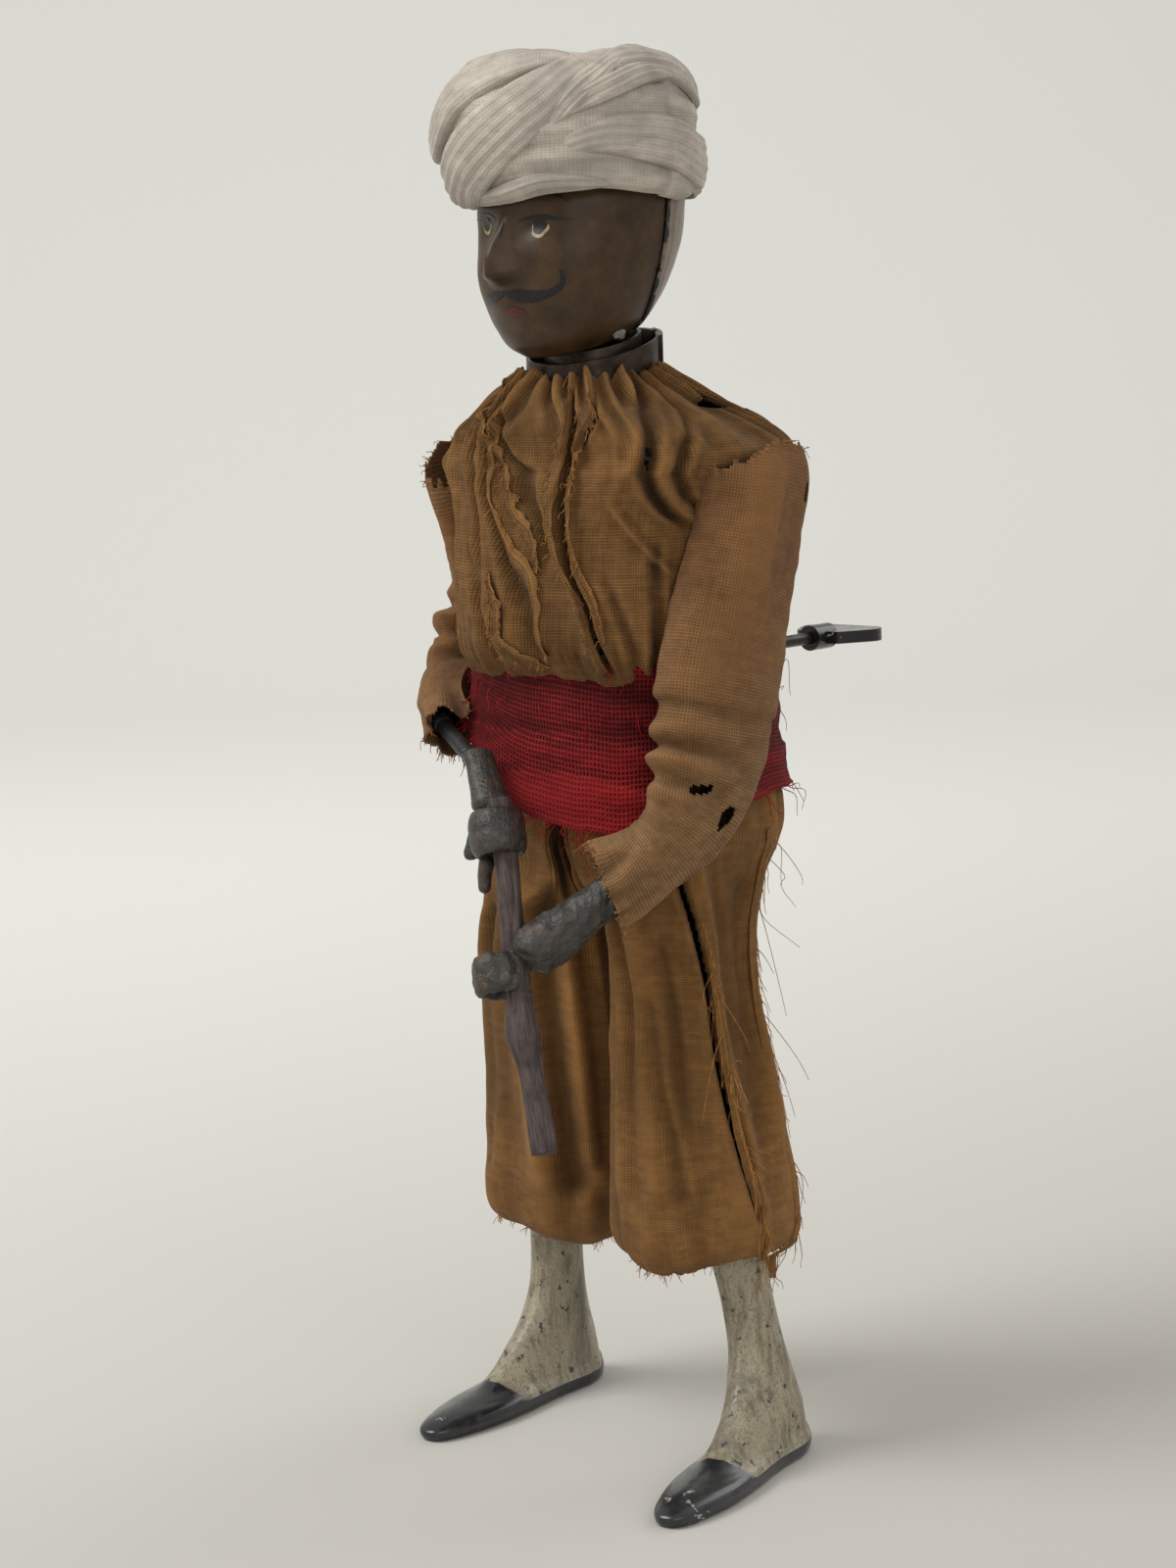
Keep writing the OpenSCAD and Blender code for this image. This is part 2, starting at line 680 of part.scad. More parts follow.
module axle_lever() {
  end = [-lever_l * cos(lever_drop), rod_top_z];
  color("gray") place() difference() {
    union() {
      x_rod(-2, 0, shoulder, 4, axle_r + 1);
      translate([-strip_t / 2, 0, 0]) rotate([90, 0, 90]) linear_extrude(strip_t) hull() {
        translate([0, shoulder]) circle(r = axle_r + 1);
        translate(end) circle(r = 1.2);
      }
    }
    x_rod(-5, 0, shoulder, 10, axle_r + fix_gap);
    x_rod(-5, end[0], end[1], 10, rod_r + run_gap);
  }
}

// An arm is a tin strip from a disc on the axle to the elbow, and a rolled forearm past that
module arm(side, path) {
  disc_r = 3.4;
  top = [side * arm_plane, 0, shoulder];
  color("#1c1a19") place() difference() {
    union() {
      x_rod(side * arm_plane - strip_t / 2, 0, shoulder, strip_t, disc_r);
      bar(top - [0, 0, disc_r - 0.6], path[0], arm_w, strip_t);
      for (i = [0:len(path) - 2]) {
        translate(path[i]) sphere(r = 1.6, $fn = 16);
        rod(path[i], path[i + 1], 1.2);
      }
    }
    x_rod(side * arm_plane - 5, 0, shoulder, 10, axle_r + fix_gap);
  }
}

module left_arm() {
  arm(1, [left_elbow, left_wrist]);
}

module right_arm() {
  arm(-1, [right_elbow, right_bow, right_wrist]);
}

// A cast hand: a wrist socket, a fist and a ring that the staff runs through
module hand(wrist, at, elbow) {
  hole = staff_r + pass_gap;
  back = (elbow - wrist) / norm(elbow - wrist);
  color("#4d4a45") place() difference() {
    union() {
      rod(wrist + 3 * back, wrist, wrist_r);
      translate(wrist) sphere(r = wrist_r + 0.5, $fn = 20);
      rod(wrist, at, wrist_r + 0.3);
      translate(mix(wrist, at, 0.6)) sphere(r = wrist_r + 0.8, $fn = 20);
      rod(at - 2.4 * staff_dir, at + 2.4 * staff_dir, hole + 1.7);
    }
    rod(at - 8 * staff_dir, at + 8 * staff_dir, hole);
    rod(elbow, wrist - 0.05 * back, 1.2 + fix_gap);
  }
}

module left_hand() {
  hand(left_wrist, left_ring, left_elbow);
}

module right_hand() {
  hand(right_wrist, right_ring, right_bow);
}

// The staff is an irregular stick: each row is a centre, a radius and a second radius
staff_rows = [[staff_top, 0.9, 0.95], [right_ring, 1, 0.96], [mix(right_ring, left_ring, 0.5), 0.95, 1],
  [left_ring, 1, 0.98], [left_ring + 3.2 * staff_dir, 0.98, 1],
  [mix(left_ring, staff_end, 0.32), 0.92, 1], [mix(left_ring, staff_end, 0.5), 1.1, 1],
  [mix(left_ring, staff_end, 0.6), 1.25, 1.15], [mix(left_ring, staff_end, 0.7), 0.95, 1],
  [staff_end, 0.9, 1]];

module staff() {
  path = [for (row = staff_rows) row[0]];
  color("#5b4a42") place() loft([for (i = [0:len(path) - 1])
    tube_ring(path[i], step_dir(path, i), staff_r * staff_rows[i][1], staff_r * staff_rows[i][2],
      16, 0, 0, 0)]);
}

// Rivets hold each arm's disc on the axle's end
module arm_rivets() {
  color("silver") place() for (side = [-1, 1])
    x_rod((side > 0 ? 0 : -0.6) + side * (arm_plane + strip_t / 2), 0, shoulder, 0.6, axle_r + 0.7);
}

// A wire rod: its bent top is the lever's pivot and its flattened lower end is an open eye
module arm_rod() {
  eye_z = second_z - crank_throw;
  eye_r = crank_pin_r + 0.5;
  hook_x = -strip_t / 2 - pass_gap - 0.5;
  color("silver") place() {
    x_rod(hook_x, rod_y, rod_top_z, rod_x - hook_x, rod_r);
    translate([rod_x, rod_y, eye_z + eye_r])
      cylinder(r = rod_r + 0.05, h = rod_top_z - eye_z - eye_r + rod_r + 0.2);
    difference() {
      y_rod(0, eye_z, rod_y + rod_r - 0.1, 2 * rod_r - 0.2, rod_x + rod_r);
      y_rod(0, eye_z, rod_y + 2, 4, eye_r);
    }
  }
}

// The beam rocks on its stud: a slotted tail up to the crank and a notched end for each leg
module leg_beam() {
  tail = second_z - beam_z + crank_throw + 2.2;
  end_x = hip_x + 2.6;
  color("gray") place() translate([0, beam_y, 0]) rotate([90, 0, 0]) linear_extrude(beam_t) difference() {
    union() {
      translate([0, beam_z]) circle(r = beam_stud_r + 2);
      translate([-2.2, beam_z]) square([4.4, tail]);
      translate([-end_x, hip_level - 2]) square([2 * end_x, 4]);
    }
    translate([0, beam_z]) circle(r = beam_stud_r + run_gap);
    translate([-slot_half, second_z - 2 * crank_throw]) square([2 * slot_half, 3 * crank_throw + 10]);
    for (side = [-1, 1])
      translate([side * hip_x - strip_t / 2 - pass_gap, hip_level - tongue_h / 2 - pass_gap])
      square([strip_t + 2 * pass_gap, tongue_h + 2 * pass_gap]);
  }
}

module beam_stud() {
  color("silver") place() {
    y_rod(0, beam_z, -plate_gap / 2, -plate_gap / 2 - beam_y + beam_t + 0.2, beam_stud_r);
    y_rod(0, beam_z, beam_y - beam_t - 0.2, 0.6, beam_stud_r + 0.8);
    y_rod(0, beam_z, -plate_out, -plate_out - beam_y - 0.15, beam_stud_r + 0.8);
  }
}

module hip_pin() {
  color("silver") place() for (side = [-1, 1]) {
    x_rod(side > 0 ? 0 : -case_w / 2 - 0.2, 0, hip_level, case_w / 2 + 0.2, hip_r);
    x_rod(side > 0 ? case_w / 2 : -case_w / 2 - 0.7, 0, hip_level, 0.7, hip_r + 0.8);
  }
}

// Each leg hangs from the pin: a tin strip with a lever tongue, and a cast shin and foot
tongue_h = 1.6;
shin_top = 34;
function knee_y(side) = ankle_y - side * step_y - 3;
function leg_knee(side) = [side * (ankle_x - 2.2), knee_y(side), hem_z + 1];
function leg_ankle(side) = [side * ankle_x, side > 0 ? ankle_y - step_y : ankle_y + step_y, 8];

module leg_strip(side) {
  hip = [side * hip_x, 0, hip_level];
  below = hip - [0, 0, hip_level - case_low + 3];
  color("#1c1a19") place() difference() {
    union() {
      x_rod(hip[0] - strip_t / 2, 0, hip_level, strip_t, leg_w / 2 + 0.4);
      bar(below, hip, leg_w, strip_t);
      bar(leg_knee(side), below, leg_w, strip_t);
      translate([hip[0] - strip_t / 2, beam_y - beam_t - 0.6, hip_level - tongue_h / 2])
        cube([strip_t, -beam_y + beam_t + 0.6, tongue_h]);
    }
    x_rod(hip[0] - 5, 0, hip_level, 10, hip_r + run_gap);
  }
}

module left_leg_strip() {
  leg_strip(1);
}

module right_leg_strip() {
  leg_strip(-1);
}

// The shin and the slippered foot are one casting; the strip's end sits in a slot in its top
module foot(side, turn) {
  ankle = leg_ankle(side);
  knee = leg_knee(side);
  below = [side * hip_x, 0, case_low - 3];
  top = mix(knee, below, (shin_top - knee[2]) / (below[2] - knee[2]));
  toe = foot_l - heel_l;
  color("#cfc6b0") place() difference() {
    union() {
      hull() {
        translate(top) cylinder(r = shin_r, h = 0.1);
        translate(knee) cylinder(r = shin_r, h = 0.1);
      }
      hull() {
        translate(knee) cylinder(r = shin_r, h = 0.1);
        translate(ankle) cylinder(r = shin_r + 0.2, h = 0.1);
      }
      translate([ankle[0], ankle[1], 0]) rotate([0, 0, turn]) {
        linear_extrude(sole_t) hull() {
          translate([0, heel_l - 4]) circle(r = 4);
          translate([0, -toe * 0.55]) circle(r = foot_w / 2);
          translate([0, 4 - toe]) circle(r = 4);
        }
        hull() {
          translate([0, 0, 8]) cylinder(r = shin_r + 0.2, h = 0.1);
          translate([0, heel_l - 4.6, 0.5]) cylinder(r = 3.8, h = 0.1);
          translate([0, -toe * 0.5, 0.5]) cylinder(r = foot_w / 2 - 0.8, h = 1);
        }
        hull() {
          translate([0, -toe * 0.3, 0.5]) cylinder(r = 3.6, h = 5);
          translate([0, -toe * 0.55, 0.5]) cylinder(r = foot_w / 2 - 0.8, h = 2);
          translate([0, 5 - toe, 0.5]) cylinder(r = 3.8, h = 1.8);
        }
      }
    }
    bar(knee - (below - knee) * 0.002, below, leg_w + 2 * fix_gap, strip_t + 2 * fix_gap);
  }
}

module left_foot() {
  foot(1, 9);
}

module right_foot() {
  foot(-1, -2);
}

// Blouse rows: height, half width, front and rear half depth, centre in Y, fold depth, exponent
neck_blouse = collar_r + 1.8;
blouse_rows = [[neck_z - 0.5, neck_blouse, neck_blouse, neck_blouse, -neck_fwd, 0.2, 2.1],
  [neck_z - 3, case_w / 2 - 0.8, case_d / 2 + 1.7, case_d / 2 + 2.1, -4, 0.7, 2.8],
  [case_top + 0.7, blouse_half - 0.4, blouse_front - 0.5, blouse_back + 0.4, 0, 0.8, 3.2],
  [shoulder - 1, blouse_half, blouse_front + 0.3, blouse_back + 0.2, 0, 0.9, 3.2],
  [shoulder - 9, blouse_half, blouse_front + 1.7, blouse_back, 0, 1.1, 3],
  [shoulder - 19, blouse_half, blouse_front + 2.8, blouse_back, 0, 1.1, 3],
  [sash_top + 3.5, blouse_half - 0.2, blouse_front + 1.2, blouse_back, 0, 1.1, 3],
  [sash_top + 0.6, blouse_half - 1, blouse_front - 1.7, blouse_back - 0.2, 0, 0.6, 3.5],
  [sash_top - 4, blouse_half - 1.6, blouse_front - 3.1, blouse_back - 0.4, 0, 0.3, 3.6],
  [sash_top - 13.5, blouse_half - 1.6, blouse_front - 3.1, blouse_back - 0.4, 0, 0.2, 3.6]];
blouse_sides = 40;
blouse_folds = 11;
function blouse_ring(row, t) = [for (k = [0:blouse_sides - 1])
  let (a = 360 * k / blouse_sides, f = row[5] * (sin(blouse_folds * a + 30) - 1) / 2 - t,
    b = sin(a) < 0 ? row[2] : row[3])
  [(row[1] + f) * power(cos(a), row[6]), row[4] + (b + f) * power(sin(a), row[6]), row[0]]];

module blouse() {
  color("#a8834a") place() difference() {
    wall([for (row = blouse_rows) blouse_ring(row, 0)], [for (row = blouse_rows) blouse_ring(row, cloth_t)]);
    x_rod(-2 * case_w, 0, shoulder, 4 * case_w, axle_r + 1.2);
    y_rod(0, arbor_level, 2 * blouse_front, 2 * blouse_front, key_r + 0.6);
  }
}

// A sleeve is a tube along the arm, square-cut on the shoulder side
module sleeve(path, rx, ry, phase) {
  n = 24;
  outer = [for (i = [0:len(path) - 1])
    tube_ring(path[i], step_dir(path, i), rx[i], ry[i], n, 5, 0.7, phase + 20 * i)];
  inner = [for (i = [0:len(path) - 1])
    tube_ring(path[i], step_dir(path, i), rx[i] - cloth_t, ry[i] - cloth_t, n, 5, 0.7, phase + 20 * i)];
  color("#a8834a") place() intersection() {
    wall(outer, inner);
    translate([path[0][0] > 0 ? sleeve_x : -sleeve_x - 100, -100, 0]) cube([100, 200, figure_h]);
  }
}

left_path = [[sleeve_x - 1, 0, shoulder - 0.5], [sleeve_x + 2.2, -0.8, shoulder - 2],
  [arm_plane + 5.2, -3, shoulder - 10], [arm_plane + 6, -5, shoulder - 22],
  [arm_plane + 6.8, -8, shoulder - 36],
  left_elbow + [2.6, -1.4, 0], mix(left_elbow, left_wrist, 0.35) + [2.6, -1.2, 0.6],
  mix(left_elbow, left_wrist, 0.85) + [1.4, -1.6, 0.6]];
right_path = [[-sleeve_x + 1, 0, shoulder - 0.5], [-sleeve_x - 2.2, -0.8, shoulder - 2],
  [-arm_plane - 5.2, -3, shoulder - 10], [-arm_plane - 6, -4, shoulder - 20], right_elbow + [-1.4, 0, 0],
  mix(right_elbow, right_bow, 0.55) + [-1.4, -1, 0], right_bow + [-0.6, -0.8, 0]];

module left_sleeve() {
  sleeve(left_path, [6, 6.4, 6.5, 6.9, 6.7, 6.6, 6.6, 6], [6, 6.8, 7.6, 7.4, 7, 6.6, 6.4, 6], 0);
}

module right_sleeve() {
  sleeve(right_path, [6, 6.4, 6, 6.2, 5.8, 4.8, 3.6], [6, 6.8, 7.4, 7.2, 6.6, 6, 5], 40);
}

// The sash hangs lower in front, in a shallow point
sash_sides = 40;
function sash_point(k, level, t) = let (a = 360 * k / sash_sides, front = max(0, -sin(a)),
    low = mix(hip_level + 0.5, hip_level - 4.5, pow(front, 1.5)),
    z = mix(sash_top - 1.6 * max(0, sin(a)), low, level),
    f = 0.35 * (1 + sin(5 * a + 200 * level)) * sin(180 * level))
  [(sash_half - t + f) * power(cos(a), 2.6), -0.4 + (sash_deep - t + f) * power(sin(a), 2.6), z];

module sash() {
  levels = [0, 0.2, 0.4, 0.6, 0.8, 1];
  color("#8e1f24") place()
    wall([for (v = levels) [for (k = [0:sash_sides - 1]) sash_point(k, v, 0)]],
      [for (v = levels) [for (k = [0:sash_sides - 1]) sash_point(k, v, cloth_t)]]);
}

// The seat ends below on an arc about the hip axis, and the legs start just outside that arc
seat_sides = 40;
function seat_low(y) = hip_level - sqrt(max(0, pow(seat_r - pass_gap, 2) - y * y));
function seat_ring(level, t) = [for (p = ring(0, -0.2, 0, mix(blouse_half - 0.8, blouse_half + 2, level) - t,
  mix(blouse_back - 0.2, blouse_back + 0.6, level) - t, 2.7, seat_sides, 0, 0, 0))
    [p[0], p[1], mix(sash_top - 18, seat_low(p[1]), level)]];

module trouser_seat() {
  levels = [0, 0.35, 0.7, 1];
  color("#7a5a34") place()
    wall([for (v = levels) seat_ring(v, 0)], [for (v = levels) seat_ring(v, cloth_t)]);
}

// Trouser rows: share of the way down, half width and depth as shares, fold depth, outward shift
trouser_rows = [[0, 0.82, 1.22, 0, 0], [0.12, 0.9, 1.16, 0.3, 0], [0.3, 0.96, 1.04, 0.8, 0],
  [0.5, 1, 0.98, 1.1, 0.3], [0.72, 1, 1, 1.3, 1], [0.9, 0.97, 0.96, 0.9, 1.8], [1, 0.92, 0.86, 0.4, 2.2]];
trouser_sides = 32;
trouser_folds = 6;
function trouser_top(y) = hip_level - sqrt(max(0, seat_r * seat_r - y * y));
function trouser_ring(side, row, t) =
  [for (p = ring(side * (trouser_a + 0.4 + row[4]), knee_y(side) * row[0], 0, trouser_a * row[1] - row[3] - t,
    trouser_b * row[2] - row[3] - t, 2.4, trouser_sides, trouser_folds, row[3], 50 * side))
    [side > 0 ? max(pass_gap / 2 + t, p[0]) : min(-pass_gap / 2 - t, p[0]), p[1],
      mix(min(hip_level - 8, trouser_top(p[1])), hem_z, row[0])]];

module trouser(side) {
  color("#7a5a34") place()
    wall([for (row = trouser_rows) trouser_ring(side, row, 0)],
      [for (row = trouser_rows) trouser_ring(side, row, cloth_t)]);
}

module left_trouser() {
  trouser(1);
}

module right_trouser() {
  trouser(-1);
}

torso_front();
torso_back();
shoulder_plate();
neck_tube();
neck_collar();
face_shell();
head_back();
fez_cap();
turban();
motor_front_plate();
motor_back_plate();
plate_pillars();
pillar_nuts();
mainspring();
hip_pin();
beam_stud();
blouse();
trouser_seat();
sash();
key_handle();
winding_arbor();
ratchet_wheel();
great_wheel();
click();
click_spring();
second_arbor();
second_pinion();
second_wheel();
crank_disc();
crank_pin();
fly_arbor();
fly_pinion();
flywheel();
shoulder_axle();
axle_lever();
left_arm();
right_arm();
left_hand();
right_hand();
staff();
left_sleeve();
right_sleeve();
arm_rivets();
arm_rod();
leg_beam();
left_leg_strip();
left_foot();
left_trouser();
right_leg_strip();
right_foot();
right_trouser();
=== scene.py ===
"""A clockwork walking figure: pressed-tin head, cast hands and feet, and cotton clothes over a tin case."""
import json
import math

import bpy
import numpy as np
from mathutils import Matrix


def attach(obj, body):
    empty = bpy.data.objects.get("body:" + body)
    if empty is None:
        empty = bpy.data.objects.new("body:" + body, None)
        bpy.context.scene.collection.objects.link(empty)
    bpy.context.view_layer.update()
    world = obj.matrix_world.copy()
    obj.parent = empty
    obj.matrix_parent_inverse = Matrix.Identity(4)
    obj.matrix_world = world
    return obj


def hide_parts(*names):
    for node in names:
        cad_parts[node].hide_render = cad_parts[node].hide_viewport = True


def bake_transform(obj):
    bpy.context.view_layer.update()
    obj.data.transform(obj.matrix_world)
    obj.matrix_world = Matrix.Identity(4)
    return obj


bl_info = {
    "name": "Clockwork Figure",
    "version": (1, 0, 0),
    "blender": (4, 5, 0),
    "location": "View3D > Sidebar > Figure",
    "description": "Dresses a clockwork walking figure with its head, clothes, hands and feet",
    "category": "Object",
}

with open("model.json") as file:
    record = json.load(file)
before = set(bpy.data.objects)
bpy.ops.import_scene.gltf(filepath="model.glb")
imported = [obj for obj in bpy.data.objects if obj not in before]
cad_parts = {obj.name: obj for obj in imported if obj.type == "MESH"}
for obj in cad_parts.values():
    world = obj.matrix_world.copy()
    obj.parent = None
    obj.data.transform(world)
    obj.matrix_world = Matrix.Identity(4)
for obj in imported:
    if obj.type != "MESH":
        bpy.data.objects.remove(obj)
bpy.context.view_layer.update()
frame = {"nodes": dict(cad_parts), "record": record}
MM = 0.001
JOINTS = {joint["name"]: joint for joint in frame["record"]["behaviour"]["joints"]}
FRAME_Y = JOINTS["arm_swing"]["pos_m"][1] / MM
HEAD_Y = -8.0
HEAD_TURN = math.radians(10)
CHIN_Z = 159.0
HEAD_H = 31.0


def unit(vectors):
    """Each vector over its own length."""
    return vectors / np.maximum(np.linalg.norm(vectors, axis=-1, keepdims=True), 1e-12)


def smoothstep(low, high, value):
    """0 below low, 1 above high, and a cubic between."""
    t = np.clip((value - low) / (high - low), 0, 1)
    return t * t * (3 - 2 * t)


def bump(value, centre, width):
    """A bell of height 1 about a centre."""
    return np.exp(-(((value - centre) / width) ** 2))


def spline(stations, values, at):
    """Catmull-Rom curve through values at the given stations, read at other stations."""
    stations = np.asarray(stations, float)
    values = np.asarray(values, float)
    at = np.clip(at, stations[0], stations[-1])
    i = np.clip(np.searchsorted(stations, at, side="right") - 1, 0, len(stations) - 2)
    slope = np.gradient(values, stations, axis=0)
    h = stations[i + 1] - stations[i]
    t = (at - stations[i]) / h
    if values.ndim == 2:
        h, t = h[..., None], t[..., None]
    a = 2 * t**3 - 3 * t**2 + 1
    b = t**3 - 2 * t**2 + t
    return a * values[i] + b * h * slope[i] + (1 - a) * values[i + 1] + (t**3 - t**2) * h * slope[i + 1]


def circle(count, start=0.0):
    """Angles evenly round one full turn."""
    return np.linspace(start, start + 2 * math.pi, count, endpoint=False)


def arc_lengths(points):
    """Distance covered along a path at each of its points."""
    return np.concatenate([[0], np.cumsum(np.linalg.norm(np.diff(points, axis=0), axis=1))])


def ripple(u, v, seed, scale=1.0, octaves=3):
    """Smooth noise from -1 to 1: sines of random direction and phase, summed by octaves. Both u and v are in mm."""
    rng = np.random.default_rng(seed)
    total = np.zeros(np.broadcast(u, v).shape)
    weight = 0.0
    for octave in range(octaves):
        for _ in range(5):
            angle, phase = rng.uniform(0, 2 * math.pi, 2)
            turn = 2**octave * rng.uniform(0.7, 1.3) * 2 * math.pi / (9 * scale)
            total += np.sin(turn * (u * math.cos(angle) + v * math.sin(angle)) + phase) * 0.55**octave
        weight += 0.55**octave * 2.2
    return total / weight


def mesh_object(name, points, faces, uvs=None, fields=None):
    """A mesh from points in mm of the figure's frame, with faces, corner UVs in metres and point fields."""
    mesh = bpy.data.meshes.new(name)
    place = (np.asarray(points, float).reshape(-1, 3) + [0, FRAME_Y, 0]) * MM
    faces = np.asarray(faces)
    mesh.vertices.add(len(place))
    mesh.vertices.foreach_set("co", place.ravel())
    mesh.loops.add(faces.size)
    mesh.loops.foreach_set("vertex_index", faces.ravel())
    mesh.polygons.add(len(faces))
    mesh.polygons.foreach_set("loop_start", np.arange(0, faces.size, faces.shape[1]))
    mesh.update(calc_edges=True)
    if uvs is not None:
        layer = mesh.uv_layers.new(name="UVMap")
        layer.data.foreach_set("uv", np.asarray(uvs, float).ravel())
    for field, values in (fields or {}).items():
        mesh.attributes.new(field, "FLOAT", "POINT").data.foreach_set("value", np.asarray(values, float).ravel())
    mesh.polygons.foreach_set("use_smooth", np.ones(len(faces), bool))
    mesh.validate()
    mesh.update()
    obj = bpy.data.objects.new(name, mesh)
    bpy.context.scene.collection.objects.link(obj)
    return obj


def grid_faces(rows, cols, closed):
    """Quads of a grid of rows by cols points, whose columns may close on themselves."""
    i, j = np.meshgrid(np.arange(rows - 1), np.arange(cols if closed else cols - 1), indexing="ij")
    k = (j + 1) % cols
    return np.stack([i * cols + j, (i + 1) * cols + j, (i + 1) * cols + k, i * cols + k], -1).reshape(-1, 4)


def grid_surface(name, points, closed=True, keep=None, fields=None, caps=(False, False), about=None):
    """A surface through a grid of points. keep is a mask of its quads, UVs follow arc lengths, caps close ends, and
    the faces look away from about, or from the middle of the points: the sum of face areas along the way from
    there is positive."""
    rows, cols = points.shape[:2]
    around = cols if closed else cols - 1
    faces = grid_faces(rows, cols, closed)
    u = np.concatenate([[0], np.cumsum(np.linalg.norm(np.roll(points, -1, 1) - points, axis=2).mean(0))])
    v = np.concatenate([[0], np.cumsum(np.linalg.norm(np.diff(points, axis=0), axis=2).mean(1))])
    i, j = (index.reshape(-1, 1) for index in np.meshgrid(np.arange(rows - 1), np.arange(around), indexing="ij"))
    uvs = np.stack([u[j + [0, 0, 1, 1]], v[i + [0, 1, 1, 0]]], -1) * MM
    if keep is not None:
        chosen = np.asarray(keep).reshape(-1)
        faces, uvs = faces[chosen], uvs[chosen]
    flat = points.reshape(-1, 3)
    fields = {key: np.asarray(field, float).reshape(-1) for key, field in (fields or {}).items()}
    if any(caps):
        faces = faces[:, [0, 1, 2, 0, 2, 3]].reshape(-1, 3)
        uvs = uvs[:, [0, 1, 2, 0, 2, 3]].reshape(-1, 3, 2)
    for end, wanted in zip((0, rows - 1), caps):
        if wanted:
            ring = end * cols + np.arange(cols)
            after = end * cols + (np.arange(cols) + 1) % cols
            first, second = (after, ring) if end else (ring, after)
            faces = np.vstack([faces, np.stack([first, second, np.full(cols, len(flat))], -1)])
            spread = (flat[[first, second, first * 0 + ring[0]]][..., :2] * MM).transpose(1, 0, 2)
            uvs = np.concatenate([uvs, spread])
            fields = {key: np.append(field, field[ring].mean()) for key, field in fields.items()}
            flat = np.vstack([flat, points[end].mean(0)])
    about = flat.mean(0) if about is None else np.asarray(about, float)
    corner = flat[faces]
    area = np.cross(corner[:, 1] - corner[:, 0], corner[:, 2] - corner[:, 0])
    if np.sum(area * (corner.mean(1) - about)) < 0:
        faces, uvs = faces[:, ::-1], uvs[:, ::-1]
    return mesh_object(name, flat, faces, uvs, fields)


def path_frames(path):
    """Two unit normals along a path, carried with little twist."""
    tangent = unit(np.gradient(path, axis=0))
    side = unit(np.cross(tangent, [0.13, 1.0, 0.07]))
    return side, np.cross(tangent, side)


def tube_points(path, radius_a, radius_b, angle):
    """Rings round a path: an ellipse of the two radii, square to the path, at each of its points."""
    side, up = path_frames(path)
    return (path[:, None] + side[:, None] * (radius_a * np.cos(angle))[..., None]
            + up[:, None] * (radius_b * np.sin(angle))[..., None])


def resample(points, count):
    """Catmull-Rom curve through points, read at evenly spaced arc lengths."""
    points = np.asarray(points, float)
    stations = arc_lengths(points)
    fine = spline(stations, points, np.linspace(0, stations[-1], count * 4))
    arc = arc_lengths(fine)
    even = np.linspace(0, arc[-1], count)
    return np.stack([np.interp(even, arc, fine[:, k]) for k in range(3)], -1)


def threads(name, roots, directions, lengths, seed, droop):
    """Loose yarn ends as thin tubes: each starts at a root, leaves in its direction, droops and curls by sines."""
    steps, sides, curl = 9, 4, 0.5
    rng = np.random.default_rng(seed)
    directions = unit(directions)
    count = len(roots)
    t = np.linspace(0, 1, steps)[None, :, None]
    length = lengths.reshape(-1, 1, 1)
    sway = rng.normal(0, 1, (count, 1, 3)) * curl
    wave = np.sin(t * math.pi * rng.uniform(0.8, 2.2, (count, 1, 1)) + rng.uniform(0, 6, (count, 1, 1)))
    path = roots[:, None] + directions[:, None] * t * length + (wave - wave[:, :1]) * sway * length * t * 0.5
    path[..., 2] -= (droop * t[..., 0] ** 2) * length[..., 0]
    along = unit(np.gradient(path, axis=1))
    side = unit(np.cross(along, [0.3, 0.9, 0.2]))
    up = np.cross(along, side)
    angle = circle(sides)[:, None]
    thick = sizes()["yarn"] / 2 * (1 - 0.45 * t)
    ring = path[:, :, None] + thick[..., None] * (side[:, :, None] * np.cos(angle) + up[:, :, None] * np.sin(angle))
    first = (np.arange(count) * steps * sides)[:, None, None]
    ends = np.array([[3, 2, 1, 0], (steps - 1) * sides + np.arange(4)])
    faces = [(one + first).reshape(-1, 4) for one in (grid_faces(steps, sides, True)[:, ::-1], ends)]
    return mesh_object(name, ring.reshape(-1, 3), np.vstack(faces))


def frayed(name, edge, out, count, reach, seed, droop=0.5):
    """Loose threads along an edge: random places on a line of points, leaving it outwards at random lengths."""
    rng = np.random.default_rng(seed)
    pick = rng.integers(0, len(edge), count)
    way = out[pick % len(out)] + rng.normal(0, 0.45, (count, 3))
    return threads(name, edge[pick], way, rng.uniform(*reach, count), seed + 1, droop)


def thicken(obj, thickness):
    """Gives a sheet its wall, on its inner side."""
    wall = obj.modifiers.new("wall", "SOLIDIFY")
    wall.thickness = thickness * MM
    wall.offset = -1.0
    wall.use_rim = True


def join(name, objects):
    """Joins meshes whose objects sit at the origin into one, keeping their materials."""
    for obj in bpy.context.selected_objects:
        obj.select_set(False)
    for obj in objects:
        obj.select_set(True)
    bpy.context.view_layer.objects.active = objects[0]
    bpy.ops.object.join()
    objects[0].name = name
    return objects[0]


def skinned(obj, voxel):
    """Fuses overlapping closed shapes into one cast skin by voxels, then relaxes it."""
    fuse = obj.modifiers.new("fuse", "REMESH")
    fuse.mode = "VOXEL"
    fuse.voxel_size = voxel * MM
    fuse.use_smooth_shade = True
    relax = obj.modifiers.new("relax", "SMOOTH")
    relax.factor = 0.5
    relax.iterations = 1
    bpy.context.view_layer.objects.active = obj
    depsgraph = bpy.context.evaluated_depsgraph_get()
    baked = bpy.data.meshes.new_from_object(obj.evaluated_get(depsgraph))
    obj.modifiers.clear()
    obj.data = baked
    return obj


